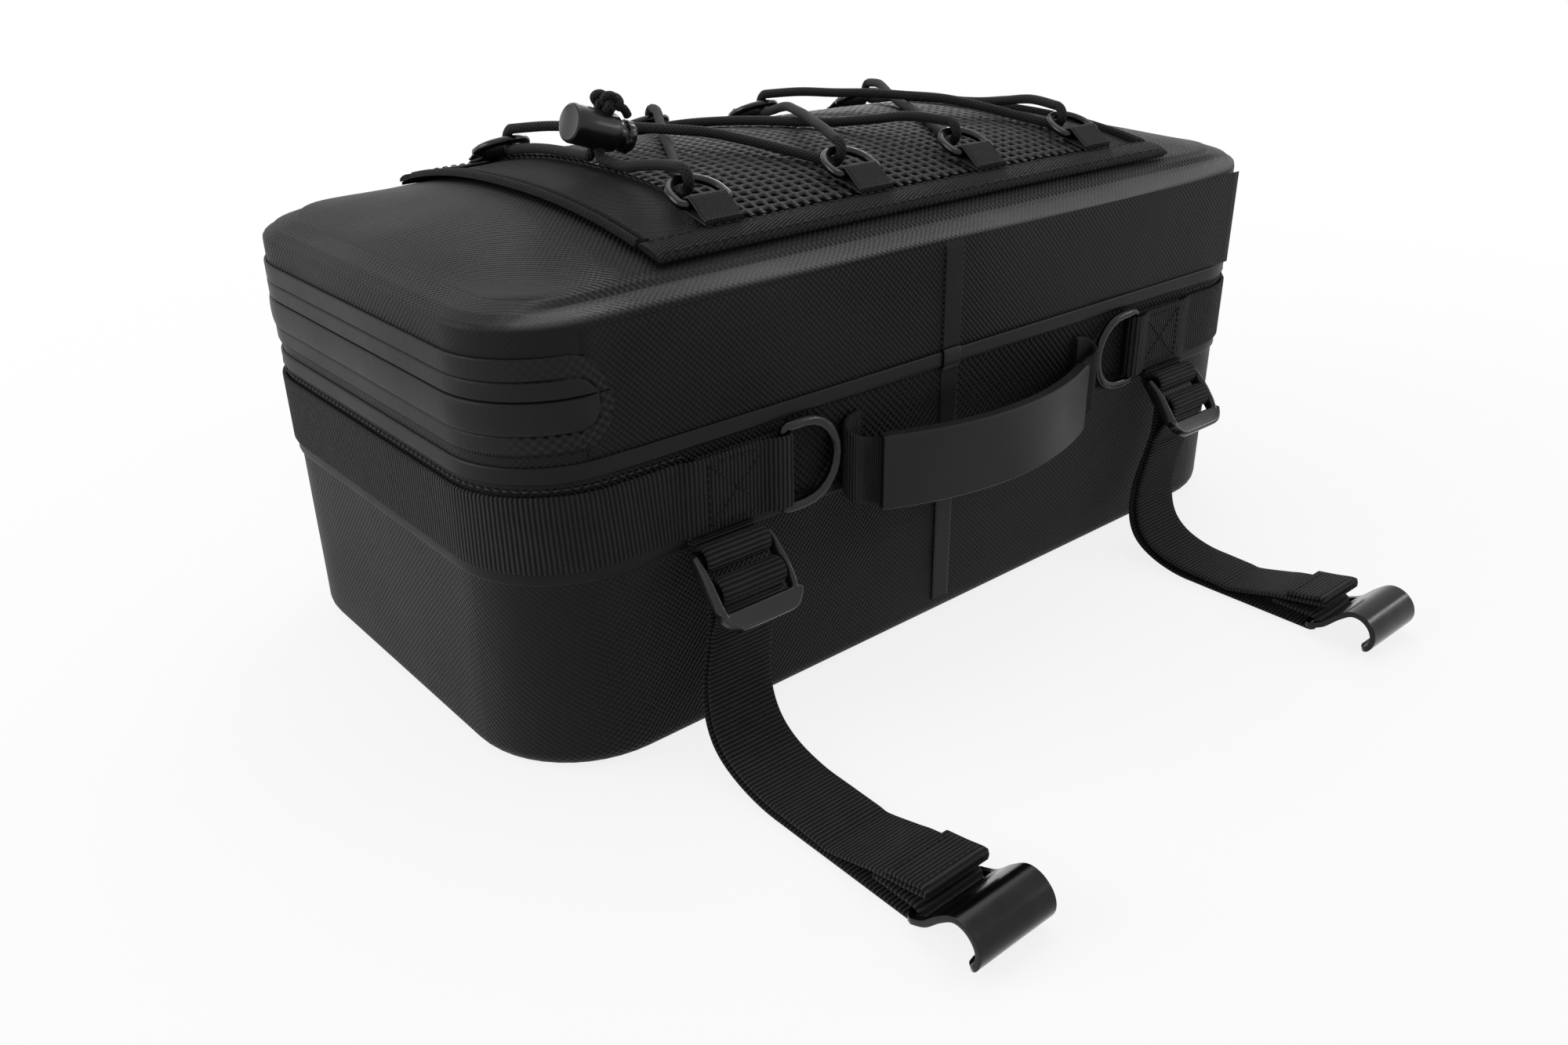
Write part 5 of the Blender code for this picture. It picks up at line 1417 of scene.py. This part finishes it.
def cordTurnAt(number, face, arrive, leave):
    crown = crownOf(number, face)
    found = []
    for k in range(7):
        turn = radians(-90 - 180 * k / 6)
        shift = arrive + (leave - arrive) * k / 6
        found.append(crown + Vector((shift, -face * cordTurn * cos(turn), cordTurn * sin(turn))))
    return found


def cordLine():
    high = 2 * cordTurn + cordLow
    step = 2 * lace["cord"] + 0.0006
    upper = [high - 0.0008, high - 0.0022, cordLow + step + 0.0006, cordLow + step, cordLow + step - 0.0004,
             cordLow + 0.0022, cordLow + 0.0006]
    lower = [high - 0.0012, high - 0.0044, cordLow + 0.0006] + [cordLow] * 4
    straight = [high - 0.0010, high - 0.0040, cordLow + 0.0010] + [cordLow] * 4
    strand = lace["cord"] + 0.00015
    feedPoint = stopPoint(0, 0, -stop["radius"] - 0.0016)
    ground = onDome(feedPoint.x, feedPoint.y, cordLow).z
    sequence = [(0, 1), (1, -1), (2, 1), (3, -1), (3, 1), (2, -1), (1, 1), (0, -1)]
    inner = 0.0008
    up = stop["radius"]
    route = [stopPoint(0, 0.0040, up + 0.0022), stopPoint(0, strand + 0.0004, up),
             stopPoint(0, strand, 0.003), stopPoint(0, strand, -0.003), stopPoint(0, strand, 0.0008 - up),
             Vector((feedPoint.x, feedPoint.y + strand + 0.0012, (ground + feedPoint.z) / 2 + 0.0002)),
             Vector((feedPoint.x, feedPoint.y + strand + 0.0040, ground + 0.0002))]
    first = crownOf(*sequence[0])
    route += strandBetween((feedPoint.x, feedPoint.y + strand + 0.0040, 0), first, [cordLow] * 3)
    for index, (number, face) in enumerate(sequence):
        arrive = inner if index in (5, 6, 7) else -inner
        leave = inner if index < 3 else -inner
        if index in (0, 3, 4):
            arrive = -inner if index != 4 else inner
        if index == 7:
            arrive, leave = inner, -inner
        route += cordTurnAt(number, face, arrive, leave)
        if index == 7:
            continue
        here, there = crownOf(number, face), crownOf(*sequence[index + 1])
        heights = straight if index == 3 else (upper if index < 3 else lower)
        route += strandBetween(here, there, heights)
    last = crownOf(*sequence[-1])
    far = Vector((feedPoint.x, feedPoint.y - strand - 0.0040, 0))
    route += strandBetween(last, far, [high - 0.0024, cordLow + 0.0024, cordLow])
    route += [Vector((far.x, far.y, ground + 0.0002)),
              Vector((feedPoint.x, feedPoint.y - strand - 0.0012, (ground + feedPoint.z) / 2 + 0.0002)),
              stopPoint(0, -strand, 0.0008 - up), stopPoint(0, -strand, -0.003), stopPoint(0, -strand, 0.003),
              stopPoint(0, -strand - 0.0004, up), stopPoint(0, -0.0040, up + 0.0022)]
    return route


def knotted(side):
    # an overhand knot above the lock, then the short end beyond it
    found = []
    for k in range(29):
        t = 2 * pi * (k / 28) * 0.94 + 0.2
        a = (sin(t) + 2 * sin(2 * t)) * 0.00095
        b = (cos(t) - 2 * cos(2 * t)) * 0.00095
        c = -sin(3 * t) * 0.0012
        found.append(stopPoint(a + 0.0006, side * 0.0030 + c, stop["radius"] + 0.0030 + b))
    found.append(stopPoint(0.0052, side * 0.0030, stop["radius"] + 0.0028 + 0.0006 * side))
    found.append(stopPoint(0.0084, side * 0.0024, stop["radius"] + 0.0012 + 0.0010 * side))
    return found


core = cordLine()
line = []
for p in eased(core, 0.0011):
    if not line or (Vector(p) - line[-1]).length > 0.0005:
        line.append(Vector(p))
cordPiece = tubePiece("laceCord", line, lace["cord"], "elasticBraid", sides=12)
place(cordPiece, "lid", "cord", "elastic_cord")
runs(line)[-1]
for side, hand in walls[::-1]:
    knotLine = eased(knotted(side), 0.0006)
    piece = tubePiece(f"cordKnot.{hand}", knotLine, 0.00150, "elasticBraid", sides=12)
    place(piece, "lid", "cord")


def turnedPiece(name, outline, finish, sides=40, ribbed=None):  # ribbed between two places on its axis
    rows = []
    for along, radius in outline:
        row = []
        for k in range(sides):
            turn = 2 * pi * k / sides
            low = ribbed and ribbed[0] <= along <= ribbed[1] and k % 4 < 2
            size = radius - (0.0003 if low else 0)
            row.append(stopPoint(along, size * cos(turn), size * sin(turn)))
        rows.append(row)
    edge = [2 * pi * stop["radius"] * k / sides for k in range(sides + 1)]
    return netOf(name, rows, flatRuns(outline), edge, finish, closed=True, caps=True, sharp=35)


left, right, radius = -stop["left"], stop["right"], stop["radius"]
outline = [(left + 0.0002, radius - 0.0016), (left, radius - 0.0009), (left + 0.0004, radius - 0.0003),
           (left + 0.0012, radius), (-0.004, radius), (0.002, radius), (right - 0.0012, radius - 0.0001),
           (right - 0.0003, radius - 0.0004), (right, radius - 0.0009), (right, stop["bore"] + 0.0001),
           (right - 0.004, stop["bore"])]
barrel = turnedPiece("lockBarrel", outline, "mouldedPlastic")
place(barrel, "lid", "plastic", "lock_barrel")
neck = right + stop["travel"] + 0.0003
stem, head, tip = stop["plunger"], stop["head"], neck + stop["headLong"]
outline = [(-0.0006, stem), (right - 0.001, stem), (right + 0.0004, stem - 0.0002),
           (neck - 0.0004, stem - 0.0003), (neck, stem), (neck + 0.0002, head - 0.0003),
           (neck + 0.0006, head), (tip - 0.0009, head),
           (tip - 0.0002, head - 0.0005), (tip, head - 0.0012), (tip - 0.0004, head - 0.0022)]
plunger = turnedPiece("lockPlunger", outline, "mouldedPlastic", sides=48,
                      ribbed=(neck + 0.0005, tip - 0.0008))
place(plunger, "plunger", "plastic", "lock_plunger")
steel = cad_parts["lock_spring"]
steel.material_slots[0].material = finishes["satinSteel"]
print("lacing and cord lock made")

# zip sliders and pulls

for side, hand in hands:
    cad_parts[f"zip_slider_{hand}"].material_slots[0].material = finishes["satinSteel"]
    x = side * 0.009
    y = bag["halfWidth"] + 0.0003 + 0.0012 + 0.0003 + 0.004 + 0.0003 + 0.0009
    top = bag["split"] + 0.001
    line = [(x, y, top + 0.0003), (x, y, top - 0.004), (x, y, top - 0.012), (x, y, top + 0.0009 - 0.025)]
    low = [Vector(p) - Vector((0.004, 0, 0)) for p in line]
    high = [Vector(p) + Vector((0.004, 0, 0)) for p in line]
    piece = ribbonPiece(f"zipPull.{hand}", low, high, 0.0018, "tabWebbing", 0.0012, facing=1)
    place(piece, f"pull_{hand}", "webbing", f"zip_pull_{hand}")
print("zip fittings made")

# floor and light

studio = {"floor": 0.90, "world": 0.44, "key": 15.2, "top": 12.5, "rim": 6.0, "front": 2.6, "shadow": 0.16}


def seenRay(wire):  # one where the camera, a reflection or clear glass looks
    seen = wire.node("ShaderNodeLightPath", out=0)
    for ray in ("Is Glossy Ray", "Is Transmission Ray"):
        seen = seen + wire.node("ShaderNodeLightPath", out=ray)
    return seen.clipped()


mesh = bpy.data.meshes.new("floor")
mesh.from_pydata([(-9, -9, 0), (9, -9, 0), (9, 9, 0), (-9, 9, 0)], [], [(0, 1, 2, 3)])
floor = linked("floor", mesh)
floor.location.z = -0.0002
wire, surface = startFinish("paleFloor", 0.9, **{"Specular IOR Level": 0.0})
surface.inputs["Base Color"].default_value = (*grey(studio["floor"]), 1)
spot = wire.node("ShaderNodeTexCoord", out=3)
far = wire.node("ShaderNodeVectorMath", {"operation": "LENGTH"}, {0: spot}, out=1)
plain = seenRay(wire) * (((far - 0.30) / 0.5).clipped() * studio["shadow"] + (1.0 - studio["shadow"]))
white = wire.node("ShaderNodeEmission")
mixed = wire.node("ShaderNodeMixShader", inputs={0: plain, 1: Wire(wire.tree, surface.outputs[0]), 2: white})
wire.tree.links.new(mixed.socket, wire.tree.nodes["Material Output"].inputs["Surface"])
mesh.materials.append(finishes["paleFloor"])

world = bpy.data.worlds.new("studio")
bpy.context.scene.world = world
world.use_nodes = True
wire = Wire(world.node_tree)
up = wire.node("ShaderNodeSeparateXYZ", inputs={0: wire.node("ShaderNodeTexCoord")}, out=2)
sky = ((up - 0.05) * 1.6).clipped() * (0.75 * studio["world"]) + 0.25 * studio["world"]
shade = seenRay(wire).sum("MAXIMUM", seenRay(wire), sky).blendTo(grey(0.0), grey(1.0))
world.node_tree.links.new(shade.socket, world.node_tree.nodes["Background"].inputs["Color"])
world.node_tree.nodes["Background"].inputs["Strength"].default_value = 1.0


def softLight(name, spot, target, width, height, power):
    made = bpy.data.lights.new(name, "AREA")
    made.shape = "RECTANGLE"
    made.size, made.size_y = width, height
    made.energy = power
    lamp = linked(name, made)
    lamp.location = spot
    lamp.rotation_euler = (Vector(target) - Vector(spot)).to_track_quat("-Z", "Y").to_euler()
    return lamp


softLight("keyLight", (-1.5, 0.7, 0.8), (0, 0, 0.1), 1.1, 1.0, studio["key"])
softLight("topLight", (0.3, 0.5, 1.7), (0, 0, 0.1), 1.6, 1.6, studio["top"])
softLight("rimLight", (1.3, 1.2, 0.9), (0, 0, 0.1), 0.7, 0.25, studio["rim"])
softLight("frontLight", (1.16, -0.87, 0.68), (0, -0.12, 0.05), 0.70, 0.07, studio["front"])
bpy.context.scene.view_settings.view_transform = "Standard"
print("studio made")
